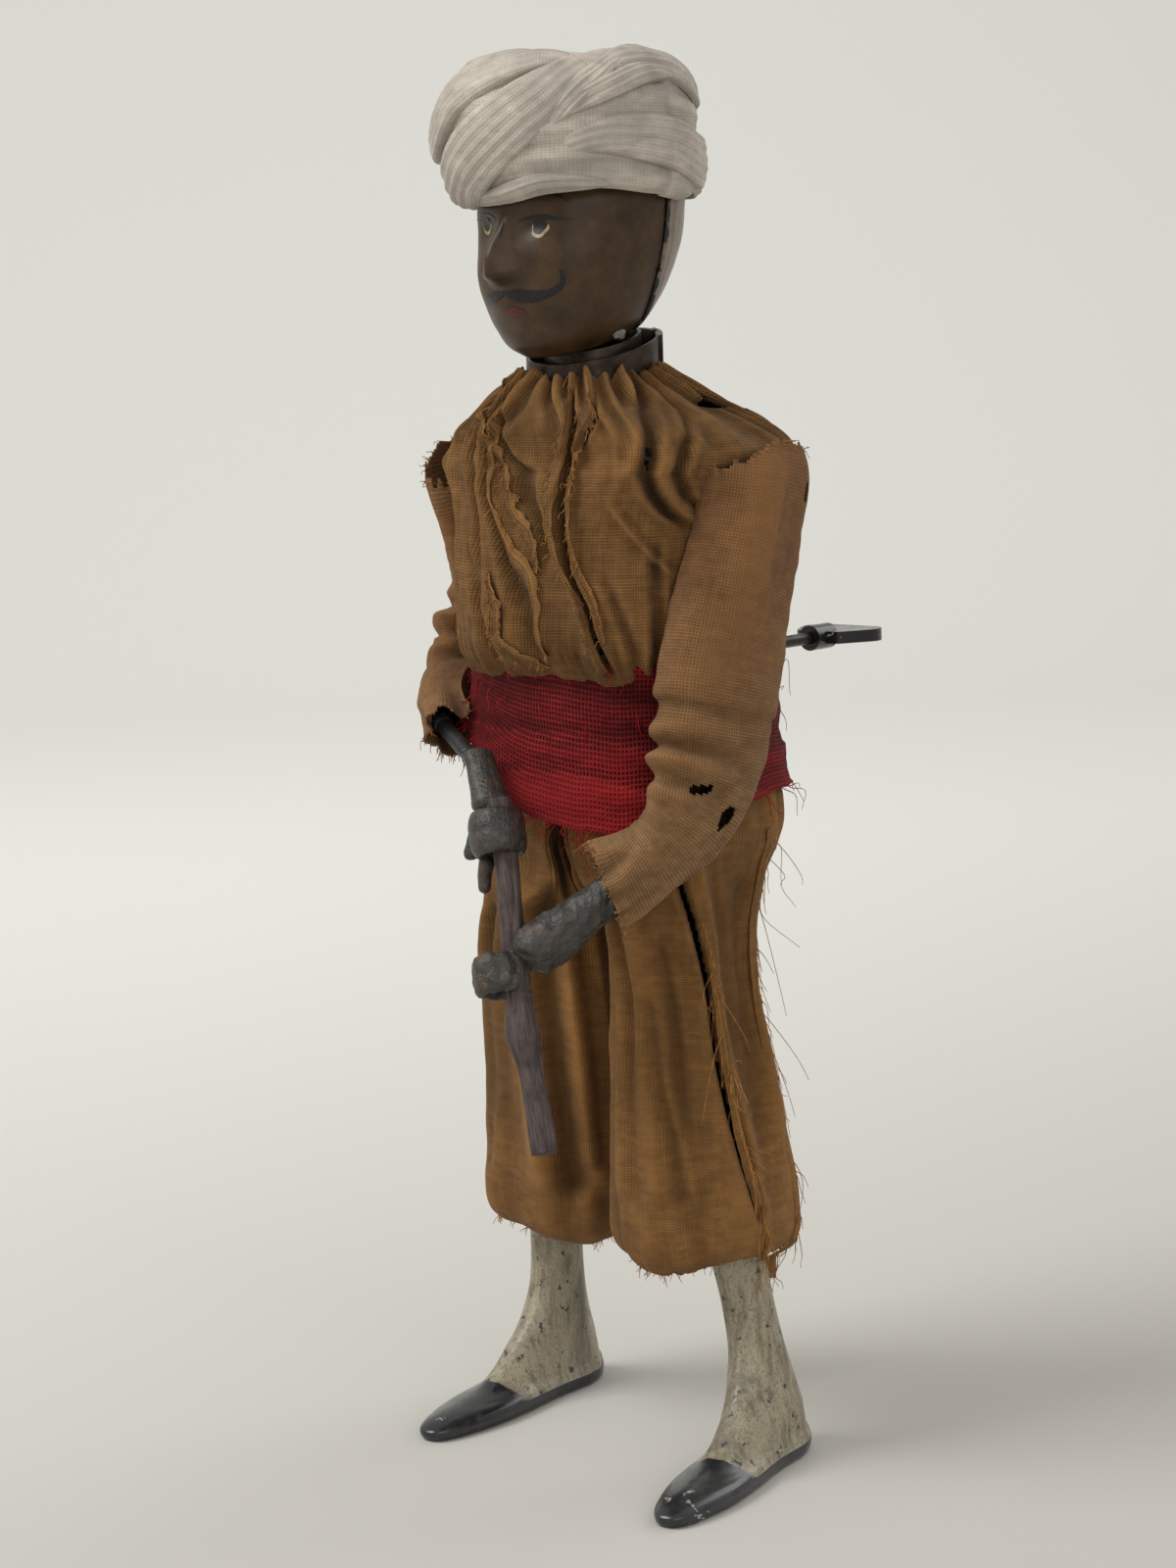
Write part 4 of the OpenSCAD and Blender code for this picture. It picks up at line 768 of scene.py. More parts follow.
BODY_RADIUS = 20.0  # turns an angle round the body into a run in mm
FAR = 9.0  # distance from the nearest opening where there is none
BLOUSE_ROWS = np.array([
    # height, half width, front and rear half depth, centre in Y, exponent
    [158.4, 10.3, 10.3, 10.3, -6.0, 2.0], [156.9, 12.0, 11.8, 12.0, -5.7, 2.1],
    [154.4, 15.4, 15.0, 14.6, -4.4, 2.4], [151.6, 18.6, 18.6, 17.0, -1.8, 2.8],
    [148.6, 20.2, 20.4, 18.2, -0.2, 3.1], [145.0, 20.5, 21.2, 18.2, 0.0, 3.2],
    [137.0, 20.5, 22.4, 18.0, 0.0, 3.0], [127.0, 20.6, 23.6, 18.1, 0.0, 3.0],
    [120.0, 20.8, 23.0, 18.0, 0.0, 2.9], [116.6, 20.0, 20.8, 16.9, 0.0, 3.1],
    [113.5, 19.0, 18.0, 16.5, 0.0, 3.4], [109.5, 18.8, 17.5, 16.4, 0.0, 3.5]])
BLOUSE_TEARS = [
    # places along the line as degrees round and height, depth and width of its fold, half openings in mm if any
    ([(-130, 158), (-122, 153.2), (-104, 148.4), (-102, 141.6), (-96, 135.4), (-91, 129.7), (-89, 125.3), (-88, 119)],
     -1.9, 0.55),
    ([(-108, 157), (-104, 153.6), (-96, 148), (-91, 145), (-90, 141), (-86, 136), (-84, 133)], -1.6, 0.45),
    ([(-66, 157), (-72, 152.5), (-80, 147.8), (-81, 141.1), (-76, 131.7), (-67, 125.5), (-63, 120.4), (-61, 117)],
     -2.0, 0.55, (0, 0, 0.12, 0, 0, 0.12, 0.3, 0.2)),
    ([(-52, 157), (-59, 153.2), (-70, 150), (-79, 147)], -1.2, 0.5),
    ([(-22, 157), (-34, 152.5), (-42, 148), (-44, 144.4), (-38, 141.5), (-30, 139), (-20, 137)],
     -2.6, 1.1, (0, 0.15, 0.3, 0.25, 0, 0, 0)),
    ([(-14, 153), (-27, 148), (-30, 144.4), (-24, 141.5), (-14, 139)], -1.5, 0.8),
    ([(-58, 140), (-46, 136), (-36, 133), (-25, 130)], 1.0, 0.8),
    ([(-116, 150), (-112, 142), (-107, 134), (-104, 126)], -1.0, 0.8),
    ([(-145, 154), (-140, 146), (-138, 138), (-134, 126)], -1.2, 0.9),
    ([(-118, 136), (-110, 131), (-104, 124), (-100, 118)], -1.0, 0.7),
    ([(-58, 130), (-50, 124), (-44, 118)], -0.9, 0.9),
    ([(-34, 134), (-33, 126), (-36, 118)], -1.2, 0.9),
    ([(60, 157), (64, 148), (66, 138), (64, 126)], -1.1, 0.9),
    ([(85, 157), (84, 147), (88, 136), (92, 124), (92, 117)], -1.5, 0.6),
    ([(108, 156), (112, 148), (108, 138), (104, 128)], -1.0, 1.0),
    ([(135, 156), (130, 146), (132, 134), (128, 120)], -1.1, 0.9)]
BLOUSE_HOLES = [
    # degrees round, height, half width and half height in mm
    (-139, 151.6, 1.7, 2.8), (30, 153.2, 3.6, 0.9), (8, 153.6, 2.4, 0.8), (162, 151.0, 2.2, 1.2)]
BLOUSE_STRIPS = [
    # places along the strip, widths, how far its curled edge stands off
    ([(-127, 157), (-119.5, 153.2), (-101.5, 148.4), (-99.5, 141.6), (-93.5, 135.4), (-88.5, 129.7), (-86.5, 125.3),
      (-85, 119)], (0.9, 1.3, 1.1, 0.9, 1.0, 1.5, 1.2, 0.9), 0.7),
    ([(-111, 157), (-106.5, 153.6), (-98.5, 148), (-93.5, 144), (-92, 140), (-88, 135), (-87, 131)],
     (0.6, 0.8, 0.7, 0.6, 0.7, 0.7, 0.3), 0.4),
    ([(-69, 157), (-75, 152.5), (-83, 147.8), (-84, 141.1), (-79, 132), (-70, 126), (-66, 120.8), (-63, 116.5)],
     (0.9, 1.3, 1.5, 1.1, 0.8, 0.9, 1.3, 1.1), 0.9),
    ([(-77, 146), (-77.5, 141), (-72.5, 132.5), (-63.5, 126.5), (-60, 121)], (0.3, 0.8, 0.9, 1.0, 0.7), 0.6),
    ([(-58, 158), (-62, 153.6), (-72, 150.4), (-78, 146.4), (-78, 142)], (1.6, 2.0, 1.6, 1.2, 0.3), 0.9),
    ([(-99, 131), (-95, 127), (-96, 122), (-88, 117)], (0.3, 1.6, 1.5, 0.9), 0.7)]


def rounded(angle, half_x, half_front, half_rear, exponent):
    """A rounded section: a superellipse with its own half depth in front and behind."""
    c, s = np.cos(angle), np.sin(angle)
    x = half_x * np.sign(c) * np.abs(c) ** (2 / exponent)
    y = np.where(s < 0, half_front, half_rear) * np.sign(s) * np.abs(s) ** (2 / exponent)
    return x, y


def turned(angle):
    """An angle brought between -180 and 180 degrees."""
    return (angle + 180) % 360 - 180


def crease_fields(degrees, height, lines, radius):
    """Adds up folds along lines on a cloth. Across each line the cloth dips by a bell and rises on both sides by two
    smaller ones; the bells fade at the line's ends. Also tells how close each place is to an opening along a line."""
    lift = np.zeros(np.broadcast(degrees, height).shape)
    gap = np.full(lift.shape, FAR)
    for places, depth, width, *opening in lines:
        places = np.asarray(places, float)
        order = np.argsort(places[:, 1])
        high = places[order, 1]
        along = np.interp(height, high, places[order, 0])
        off = turned(degrees - along) * radius * math.pi / 180
        fade = smoothstep(high[0] - 1.5, high[0] + 2.5, height) * smoothstep(high[-1] + 1.5, high[-1] - 2.5, height)
        lift += fade * (depth * bump(off, 0, width) - 0.45 * depth * bump(off, 1.9 * width, width)
                        - 0.3 * depth * bump(off, -2.0 * width, 1.1 * width))
        width_here = np.interp(height, high, np.array(opening[0])[order]) if opening else 0 * height
        outside = (height < high[0]) | (height > high[-1])
        gap = np.minimum(gap, np.where(outside | (width_here <= 0.001), FAR, np.abs(off) - width_here))
    return lift, gap


def hole_field(degrees, height):
    """Distance outside the edge of the blouse's nearest hole, in mm."""
    gap = np.full(np.broadcast(degrees, height).shape, FAR)
    for at, high, wide, tall in BLOUSE_HOLES:
        across = turned(degrees - at) * BODY_RADIUS * math.pi / 180
        gap = np.minimum(gap, (np.sqrt((across / wide) ** 2 + ((height - high) / tall) ** 2) - 1) * min(wide, tall))
    return gap


def quads_where(mask):
    """Quads of a grid, closed on itself, whose corners all pass."""
    after = np.roll(mask, -1, axis=1)
    return mask[:-1] & mask[1:] & after[:-1] & after[1:]


def blouse_form(angle, height):
    """The blouse at angles and heights: rounded sections by a spline in height, out over the shoulders by two bells,
    gathered at neck and waist by pleats that sharpen towards them, with long folds. Also the distance outside the
    nearest tear or hole, and the relief alone."""
    row = spline(BLOUSE_ROWS[::-1, 0], BLOUSE_ROWS[::-1, 1:], height)
    degrees = np.degrees(angle)
    x, y = rounded(angle, row[..., 0], row[..., 1], row[..., 2], row[..., 4])
    run = angle * BODY_RADIUS
    warp = 2.6 * ripple(run * 0.5, height * 0.45, 21, 1.6)
    neck = smoothstep(140, 156, height) ** 1.5
    waist = bump(height, 118.5, 3.4)
    pleat = np.sin(31 * angle + warp + 0.5 * np.sin(3 * angle))
    pleat = np.sign(pleat) * np.abs(pleat) ** 0.7
    small = np.sin(57 * angle + 2 * warp + 1)
    lift = neck * (0.75 * pleat + 0.25 * small) + waist * (0.4 * np.sin(25 * angle - warp) + 0.2 * small)
    lift = lift + 0.5 * ripple(run * 0.55, height * 0.3, 22, 2.0, 2) + 0.25 * ripple(run * 1.2, height * 0.5, 23, 1.0)
    folds, gap = crease_fields(degrees, height, BLOUSE_TEARS, BODY_RADIUS)
    lift = lift + folds
    shoulder = bump(height, 146.5, 5.6)
    cap = 5.4 * shoulder * (bump(turned(degrees), 0, 34) + bump(np.abs(turned(degrees - 2)), 180, 34))
    sag = 0.8 * shoulder * ripple(run * 0.8, height * 0.8, 25, 1.2)
    out = unit(np.stack([x, y], -1))
    rise = np.clip(lift, -2.4, 2.0) + sag
    frill = smoothstep(152.5, 156.5, height)
    rise = rise + 0.9 * frill * ripple(run * 1.1, height * 0.8, 27, 0.9, 2)
    wave = 0.6 * pleat + 0.3 * np.sin(5 * angle) + 0.8 * ripple(run, 0 * run, 28, 1.1, 2)
    points = np.stack([x + out[..., 0] * rise + np.sign(x) * cap, y + out[..., 1] * rise + row[..., 3],
                       height + frill * wave], -1)
    ragged = 0.16 * ripple(run * 3.0, height * 3.0, 26, 1.0)
    return points, np.minimum(gap, hole_field(degrees, height)) + ragged, lift


def blouse_surface():
    """The blouse on its grid. Where a tear's edge passes between two grid points, the nearer one is drawn onto it
    along the slope of the distance, so that the edges run smoothly."""
    height, angle = np.meshgrid(np.linspace(158.4, 111.0, 124), circle(350, -math.pi), indexing="ij")
    for _ in range(2):
        gap = blouse_form(angle, height)[1]
        by_run = (blouse_form(angle + 1e-3, height)[1] - gap) / (1e-3 * BODY_RADIUS)
        by_height = (blouse_form(angle, height + 0.02)[1] - gap) / 0.02
        steep = np.maximum(by_run**2 + by_height**2, 0.2)
        near = np.where(np.abs(gap) < 0.24, gap, 0)
        angle = angle - near * by_run / steep / BODY_RADIUS
        height = height - near * by_height / steep
    points, gap, lift = blouse_form(angle, height)
    # The last value is painted light for the cloth: painted highlight on raised folds, painted shade in the hollows,
    # darkest along the edges of tears and holes as shade inside them.
    return points, gap + 0.03, np.clip(0.5 + 0.36 * lift - 0.5 * np.exp(-np.maximum(gap, 0) / 0.35), 0, 1)


def torn_strip(name, places, widths, stand, seed, form):
    """A torn strip of cloth that lies on a form given over angle and height: its middle follows the places, its edges
    are ragged, one edge curls away from the cloth, and it sways a little as it hangs."""
    count = 110
    path, side, wide = ribbon_path(np.asarray(places) * [math.radians(1) * BODY_RADIUS, 1], widths, count)
    t = np.linspace(0, 1, count)[:, None]
    w = np.linspace(-1, 1, 9)[None]
    rough = 0.2 * ripple(t * 60 + 0 * w, 3 * np.sign(w) + 0 * t, seed, 0.7, 2)
    off = w * wide / 2 + rough * np.abs(w) ** 3
    base = form((path[:, :1] + side[:, :1] * off) / BODY_RADIUS, path[:, 1:] + side[:, 1:] * off)
    rise = 0.3 + stand * (0.25 + 0.75 * ((w + 1) / 2) ** 2) * (0.6 + 0.4 * np.sin(t * 5 + seed)) * np.minimum(1, 8 * t)
    points = base + unit(base * [1, 1, 0]) * rise[..., None]
    # Painted light: painted highlight towards the curled edge, painted shade down the strip's middle.
    fold = np.clip(0.75 + 0.25 * w - 0.3 * (np.abs(w) < 0.3) + 0 * t, 0, 1)
    return grid_surface(name, points, closed=False, fields={"fold": fold}), points


SLEEVE_LEFT = np.array([
    # centre, half width outwards, half width forwards
    [23.6, 0.0, 149.0, 4.6, 7.0], [24.0, -0.6, 145.0, 5.6, 8.6], [23.9, -2.4, 137.0, 5.4, 8.9],
    [23.8, -4.8, 129.0, 5.2, 9.6], [23.5, -8.2, 118.0, 5.0, 10.3], [23.7, -10.3, 110.0, 5.0, 10.6],
    [23.5, -11.8, 104.0, 5.0, 10.2], [22.7, -14.4, 98.0, 5.0, 8.8], [20.6, -18.0, 92.8, 5.1, 7.3],
    [17.6, -21.4, 89.8, 5.5, 6.4], [13.9, -25.0, 87.6, 6.2, 6.0]])
SLEEVE_RIGHT = np.array([
    # the same columns
    [-25.4, -3.4, 149.0, 4.4, 7.2], [-25.9, -3.6, 144.6, 5.1, 7.8], [-24.9, -0.8, 136.0, 4.8, 7.2],
    [-25.2, 0.0, 126.0, 4.9, 6.6], [-26.2, -2.6, 118.0, 5.3, 6.8], [-25.6, -6.4, 112.8, 5.5, 6.4],
    [-22.6, -11.0, 110.4, 5.2, 6.3], [-18.8, -15.4, 108.8, 4.8, 6.3], [-14.4, -19.6, 106.4, 4.6, 6.4]])
SLEEVE_HOLES = {
    # centre and half sizes of each hole
    "left_sleeve_cloth": [((25.8, -13.5, 96.6), (3.2, 1.9, 1.5)), ((25, -17.8, 101.2), (3.0, 1.8, 0.35)),
                          ((27.5, 5.2, 140.5), (3, 1.2, 1.6))],
    "right_sleeve_cloth": [((-29, 2, 132), (3, 1.5, 1.8))]}


def sleeve_surface(stations, side, seed):
    """A sleeve: ellipses carried along the arm, pressed flat against the body, with slack folds, a bunched elbow and
    cross creases at the cuff."""
    arc = arc_lengths(stations[:, :3])
    length = arc[-1]
    at = np.linspace(0, 1, 150) * length
    path = spline(arc, stations[:, :3], at)
    half = spline(arc, stations[:, 3:], at)
    angle = circle(120)[None]
    down = at[:, None] + 0 * angle
    run = angle * 7 + 0 * down
    elbow = bump(down, length * (0.66 if side > 0 else 0.56), 7)
    cuff = smoothstep(length - 10, length, down)
    lift = 0.55 * ripple(run * 0.8, down * 0.4, seed, 1.6, 2) + 0.2 * ripple(run, down, seed + 1, 1.0)
    lift = lift + elbow * 1.1 * np.sin(down * 1.05 + 1.3 * np.sin(angle + 1.0)) * smoothstep(-0.4, 0.9, np.sin(angle))
    lift = lift + (0.3 + 0.9 * cuff) * 0.5 * np.sin(5 * angle + 0.12 * down + seed)
    lift = lift + 0.5 * cuff * np.sin(9 * angle + 2) + 0.7 * cuff**2 * np.sin(4 * angle + seed)
    seam = length * (0.545 if side > 0 else 0.62)
    lift = lift + 0.45 * smoothstep(seam + 0.5, seam - 0.1, down) - 0.2 * bump(down, seam + 0.9, 0.6)
    points = tube_points(path, half[:, :1] + lift, half[:, 1:] + lift, angle)
    body = np.where(points[..., 2] > 119, 21.0, 21.9)
    deep = np.where(points[..., 2] > 119, 24.2, 21.4)
    reach = body * np.maximum(1 - np.clip(np.abs(points[..., 1] + 0.2) / deep, 0, 1) ** 3, 0) ** (1 / 3)
    reach = reach * (points[..., 2] > 90)
    gap = side * points[..., 0] - reach
    points[..., 0] = side * (reach + np.where(gap > 0.6, gap, 0.6 * np.exp(np.minimum(gap - 0.6, 0) / 0.9)))
    return points, lift, down, length, angle


def sash_edge(angle):
    """Heights of the sash's lower edge round the waist: a shallow point in front on the left, a steep rise to the
    right front corner, and level behind."""
    degrees = np.array([-180, -160, -140, -128, -112, -98, -88, -78, -60, -40, -10, 20, 60, 110, 150, 180.0])
    heights = np.array([103, 106, 108.6, 107.6, 102.6, 98, 95.6, 94.4, 94.0, 94.4, 96.4, 97.6, 97.4, 98.6, 101, 103])
    return np.interp(np.degrees(angle), degrees, heights)


def sash_surface():
    """The gauze sash: rounded sections, three wraps that overlap by steps whose levels drift round the waist, a
    rolled top edge, long shallow folds, and the lower edge of sash_edge."""
    angle = circle(420, -math.pi)[None]
    level = np.linspace(0, 1, 96)[:, None]
    edge = sash_edge(angle) + 0.35 * np.sin(9 * angle) * np.sin(4 * angle + 1)
    top = 117.6 + 1.9 * np.cos(angle + math.radians(128)) + 0.3 * np.sin(7 * angle)
    height = top + (edge - top) * level
    drift = (height - 95) / 23 + 0.12 * np.sin(angle + 0.7) + 0.02 * np.sin(6 * angle)
    wraps = sum(0.4 * smoothstep(at - 0.014, at + 0.014, drift) for at in (0.22, 0.47, 0.76))
    run = angle * BODY_RADIUS + 0 * level
    lift = 0.75 - wraps + 0.4 * bump(level, 0.03, 0.035) + 0.2 * ripple(run * 0.5, height * 1.5, 31, 1.1)
    lift = lift + 0.35 * np.sin(8 * angle + 0.5 * height) * bump(level, 0.12, 0.14) + 0.16 * np.sin(
        1.1 * height + 1.4 * np.sin(angle * 2 + 1)) - 0.2
    low = 0.7 * smoothstep(0.45, 1.0, level)
    x, y = rounded(angle, 20.8 + lift + low, 20.2 + lift + low, 19.6 + lift + low, 2.9)
    points = np.stack([x, y - 0.4, height], -1)
    # The second value is painted light: painted shade below each wrap's step and in the folds, painted highlight on the
    # rolled top edge and the crests.
    return points, np.clip(0.5 + 0.75 * lift, 0, 1), angle[0]


TROUSER_LEFT = np.array([
    # height, middle across, front and rear in Y, half width, exponent
    [113.0, 9.3, -15.0, 15.0, 9.1, 2.6], [104.0, 9.4, -15.8, 15.2, 9.2, 2.7], [99.5, 9.8, -17.2, 15.6, 9.5, 2.9],
    [95.5, 10.2, -17.2, 16.2, 9.9, 3.0],
    [91.0, 10.7, -17.2, 15.4, 10.2, 2.8], [86.5, 11.0, -16.6, 12.2, 9.8, 2.6], [80.0, 11.8, -15.4, 8.0, 9.4, 2.4],
    [70.0, 12.6, -14.8, 6.2, 9.4, 2.3], [60.0, 13.1, -15.6, 6.4, 10.4, 2.3], [49.0, 13.9, -16.9, 6.9, 11.7, 2.3],
    [38.0, 15.0, -17.9, 7.2, 12.5, 2.3], [33.5, 15.4, -17.4, 6.6, 12.1, 2.3], [31.2, 15.5, -15.9, 5.4, 10.8, 2.2],
    [30.2, 15.6, -13.8, 3.6, 8.9, 2.1]])
TROUSER_RIGHT = np.array([
    # the same columns
    [113.0, -9.3, -15.0, 15.0, 9.1, 2.6], [104.0, -9.4, -15.8, 15.2, 9.2, 2.7], [99.5, -9.8, -16.8, 15.6, 9.5, 2.9],
    [95.5, -10.2, -16.8, 16.2, 9.9, 3.0], [91.0, -10.8, -17.2, 15.8, 10.3, 2.8], [87.5, -11.1, -15.8, 13.8, 10.2, 2.5],
    [80.0, -12.3, -13.8, 13.4, 11.2, 2.4], [74.0, -13.0, -13.5, 14.2, 12.5, 2.3], [64.0, -13.6, -12.5, 15.6, 13.0, 2.3],
    [49.0, -14.2, -11.0, 17.2, 13.3, 2.3], [37.0, -15.2, -9.5, 18.6, 13.4, 2.3], [32.0, -15.6, -8.6, 18.2, 12.8, 2.3],
    [29.8, -15.8, -7.2, 16.8, 11.4, 2.2], [28.8, -15.9, -5.0, 14.6, 9.3, 2.1]])


def trouser_surface(form, side, creases, seed):
    """One trouser leg: rounded sections on a spline down its form, kept on its own side of the middle, with long
    hanging folds, named creases and slits, gathers at the waist, and an uneven hem that curls under."""
    station = np.linspace(0, len(form) - 1, 1200)
    fine = spline(np.arange(len(form)), form, station)
    arc = arc_lengths(fine[:, [0, 4]])
    level = np.linspace(0, 1, 190)[:, None]
    t = np.interp(arc[-1] * level[:, 0], arc, station)
    row = spline(np.arange(len(form)), form, t)[:, None]
    angle = circle(230, -math.pi)[None]
    low = smoothstep(60, 32, row[..., 0])
    height = row[..., 0] + low * (1.3 * np.sin(angle + 0.9 * side) + 0.6 * np.sin(3 * angle + seed))
    degrees = np.degrees(angle) + 0 * height
    run = angle * 12 + 0 * level
    slack = smoothstep(96, 74, height)
    lift = 0.55 * slack * np.sin(6 * angle + 0.03 * height + seed + 0.8 * np.sin(2 * angle))
    lift = lift + 0.55 * ripple(run * 0.7, height * 0.16, seed, 1.6, 2) * (0.4 + slack)
    lift = lift + 0.25 * ripple(run * 0.9, height * 0.45, seed + 1, 1.2)
    lift = lift + 0.35 * smoothstep(86, 95, height) * np.sin(15 * angle + 2 * np.sin(3 * angle))
    lift = lift + 0.4 * bump(height, 34, 4) * np.sin(11 * angle + 3 * np.sin(2 * angle + seed))
    folds, gap = crease_fields(degrees, height, creases, 12.0)
    lift = lift + folds
    square = 9 * (side * np.cos(angle) < 0) * smoothstep(80, 89, height)
    deep = (row[..., 3] - row[..., 2]) / 2 + lift
    x, y = rounded(angle, row[..., 4] + lift, deep, deep, row[..., 5] + square)
    x = side * (x + row[..., 1])
    x = side * (0.3 + np.where(x > 1.0, x - 0.3, 0.7 * np.exp(np.minimum(x - 1.0, 0) / 1.2)))
    points = np.stack([x, y + (row[..., 2] + row[..., 3]) / 2, height + 0 * x], -1)
    # Painted light: painted shade near the slits and between the legs, with painted shade and highlight along the
    # folds.
    shade = 0.5 * np.exp(-np.maximum(gap, 0) / 0.5) + 0.6 * np.exp(-np.maximum(np.abs(x) - 0.3, 0) / 1.1)
    return points, np.clip(0.5 + 0.3 * lift - shade, 0, 1), gap, angle, level


def trouser_shell(form, angle, height):
    """A trouser leg's form without folds, over angle and height."""
    row = spline(form[::-1, 0], form[::-1, 1:], height)
    deep = (row[..., 2] - row[..., 1]) / 2
    x, y = rounded(angle, row[..., 3], deep, deep, row[..., 4])
    return np.stack([x + row[..., 0], y + (row[..., 1] + row[..., 2]) / 2, height], -1)


LEFT_CREASES = [
    # places along the line as degrees round and height, depth and width of its fold, half openings in mm if any
    ([(-50, 93), (-44, 88), (-36, 81), (-27, 72), (-24, 60), (-17, 50), (-9, 38)],
     -1.0, 0.8, (0, 0.1, 0.3, 0.25, 0.1, 0.3, 0.1)),
    ([(-28, 90), (-16, 78), (-12, 62), (-4, 44)], 0.9, 1.2),
    ([(-108, 88), (-104, 76), (-100, 60), (-96, 40)], -1.3, 1.5),
    ([(-86, 70), (-80, 58), (-70, 50), (-64, 40)], -0.9, 1.1),
    ([(-70, 78), (-62, 64), (-58, 50)], -0.6, 1.2),
    ([(10, 86), (16, 70), (12, 48)], -1.2, 1.6), ([(60, 90), (66, 70), (60, 46)], -1.3, 1.8),
    ([(120, 90), (112, 70), (118, 44)], -1.2, 1.8)]
RIGHT_CREASES = [
    ([(-66, 97), (-63, 90), (-60, 83)], 0.7, 0.5, (0, 0.1, 0)),
    ([(-62, 84), (-63, 76), (-64, 68), (-60, 50), (-54, 36)], -2.9, 2.3),
    ([(-88, 82), (-84, 72), (-80, 56), (-76, 40)], 0.9, 1.4),
    ([(-118, 80), (-122, 73), (-116, 68)], -1.4, 1.3),
    ([(-128, 66), (-124, 52), (-126, 38)], -0.8, 1.8),
    ([(-44, 92), (-40, 76), (-36, 58), (-34, 40)], -1.6, 1.4),
    ([(40, 90), (46, 66), (42, 44)], -1.2, 1.7), ([(100, 92), (106, 70), (102, 46)], -1.2, 1.8),
    ([(160, 90), (154, 70), (160, 44)], -1.3, 1.6)]
TROUSER_STRIPS = [
    # torn panels down the outer side of the left leg
    ([(18, 92), (22, 84), (24, 74), (28, 60), (30, 46), (28, 36), (26, 27)], (2.4, 3.4, 3.8, 4.2, 5.0, 5.6, 6.0), 1.6),
    ([(-30, 84), (-24, 74), (-21, 62), (-17, 50), (-8, 38), (-3, 31)], (0.4, 1.1, 1.4, 1.5, 1.7, 1.0), 0.9)]


# Hands, staff, legs and feet

LEFT_WRIST, LEFT_RING = np.array([14.9, -23.0, 86.5]), np.array([3.1, -33.4, 75.2])
RIGHT_WRIST, RIGHT_RING = np.array([-7.0, -25.0, 102.6]), np.array([-1.0, -28.5, 94.4])
STAFF_TOP, STAFF_END = np.array([-2.0, -27.5, 99.0]), np.array([13.5, -38.5, 52.0])


def swept(name, stations, grain, seed, rows=90, round_start=True):
    """A form carried along a path: an ellipse at each station, given as a point and two half sizes, rounded off by
    a square root at its end and, if asked, at its start, with a cast grain of smooth noise."""
    stations = np.asarray(stations, float)
    arc = arc_lengths(stations[:, :3])
    at = np.linspace(0, arc[-1], rows)[:, None]
    path = spline(arc, stations[:, :3], at[:, 0])
    half = spline(arc, stations[:, 3:], at[:, 0])
    rounding = np.maximum(half.mean(1, keepdims=True) * 0.8, 0.1)
    closing = np.sqrt(np.clip((arc[-1] - at) / rounding, 0.01, 1))
    if round_start:
        closing = closing * np.sqrt(np.clip(at / rounding, 0.01, 1))
    angle = circle(48)[None]
    rough = grain * ripple(angle * half.mean() + 0 * at, at + 0 * angle, seed, 0.35, 2)
    points = tube_points(path, half[:, :1] * closing, half[:, 1:] * closing, angle)
    points = points + unit(points - path[:, None]) * (rough * closing)[..., None]
    return grid_surface(name, points, caps=(True, True))


def grip_ring(name, centre, axis, wall, tall, seed):
    """The closed hand: a ring round the staff whose wall is thicker on the knuckles, with four shallow grooves
    between the fingers. Round the axis runs one angle; round the wall runs the other."""
    inner = 2.15
    across = unit(np.cross(axis, [0.2, 0.3, 1.0]))
    other = np.cross(axis, across)
    a = circle(96)[:, None]
    b = circle(40)[None]
    thick = wall * (1 + 0.25 * np.cos(a - 0.6)) * (1 + 0.05 * np.sin(3 * a + seed))
    grooves = 1 - 0.10 * bump(np.sin(4 * np.sin(b)), 0, 0.25) * np.clip(np.cos(b), 0, 1)
    reach = inner + thick * (1 + np.cos(b) * grooves)
    high = tall * np.sign(np.sin(b)) * np.abs(np.sin(b)) ** 0.8
    points = (centre + reach[..., None] * (np.cos(a)[..., None] * across + np.sin(a)[..., None] * other)
              + (high + 0 * a)[..., None] * axis)
    points = np.concatenate([points, points[:1]])
    return grid_surface(name, points)


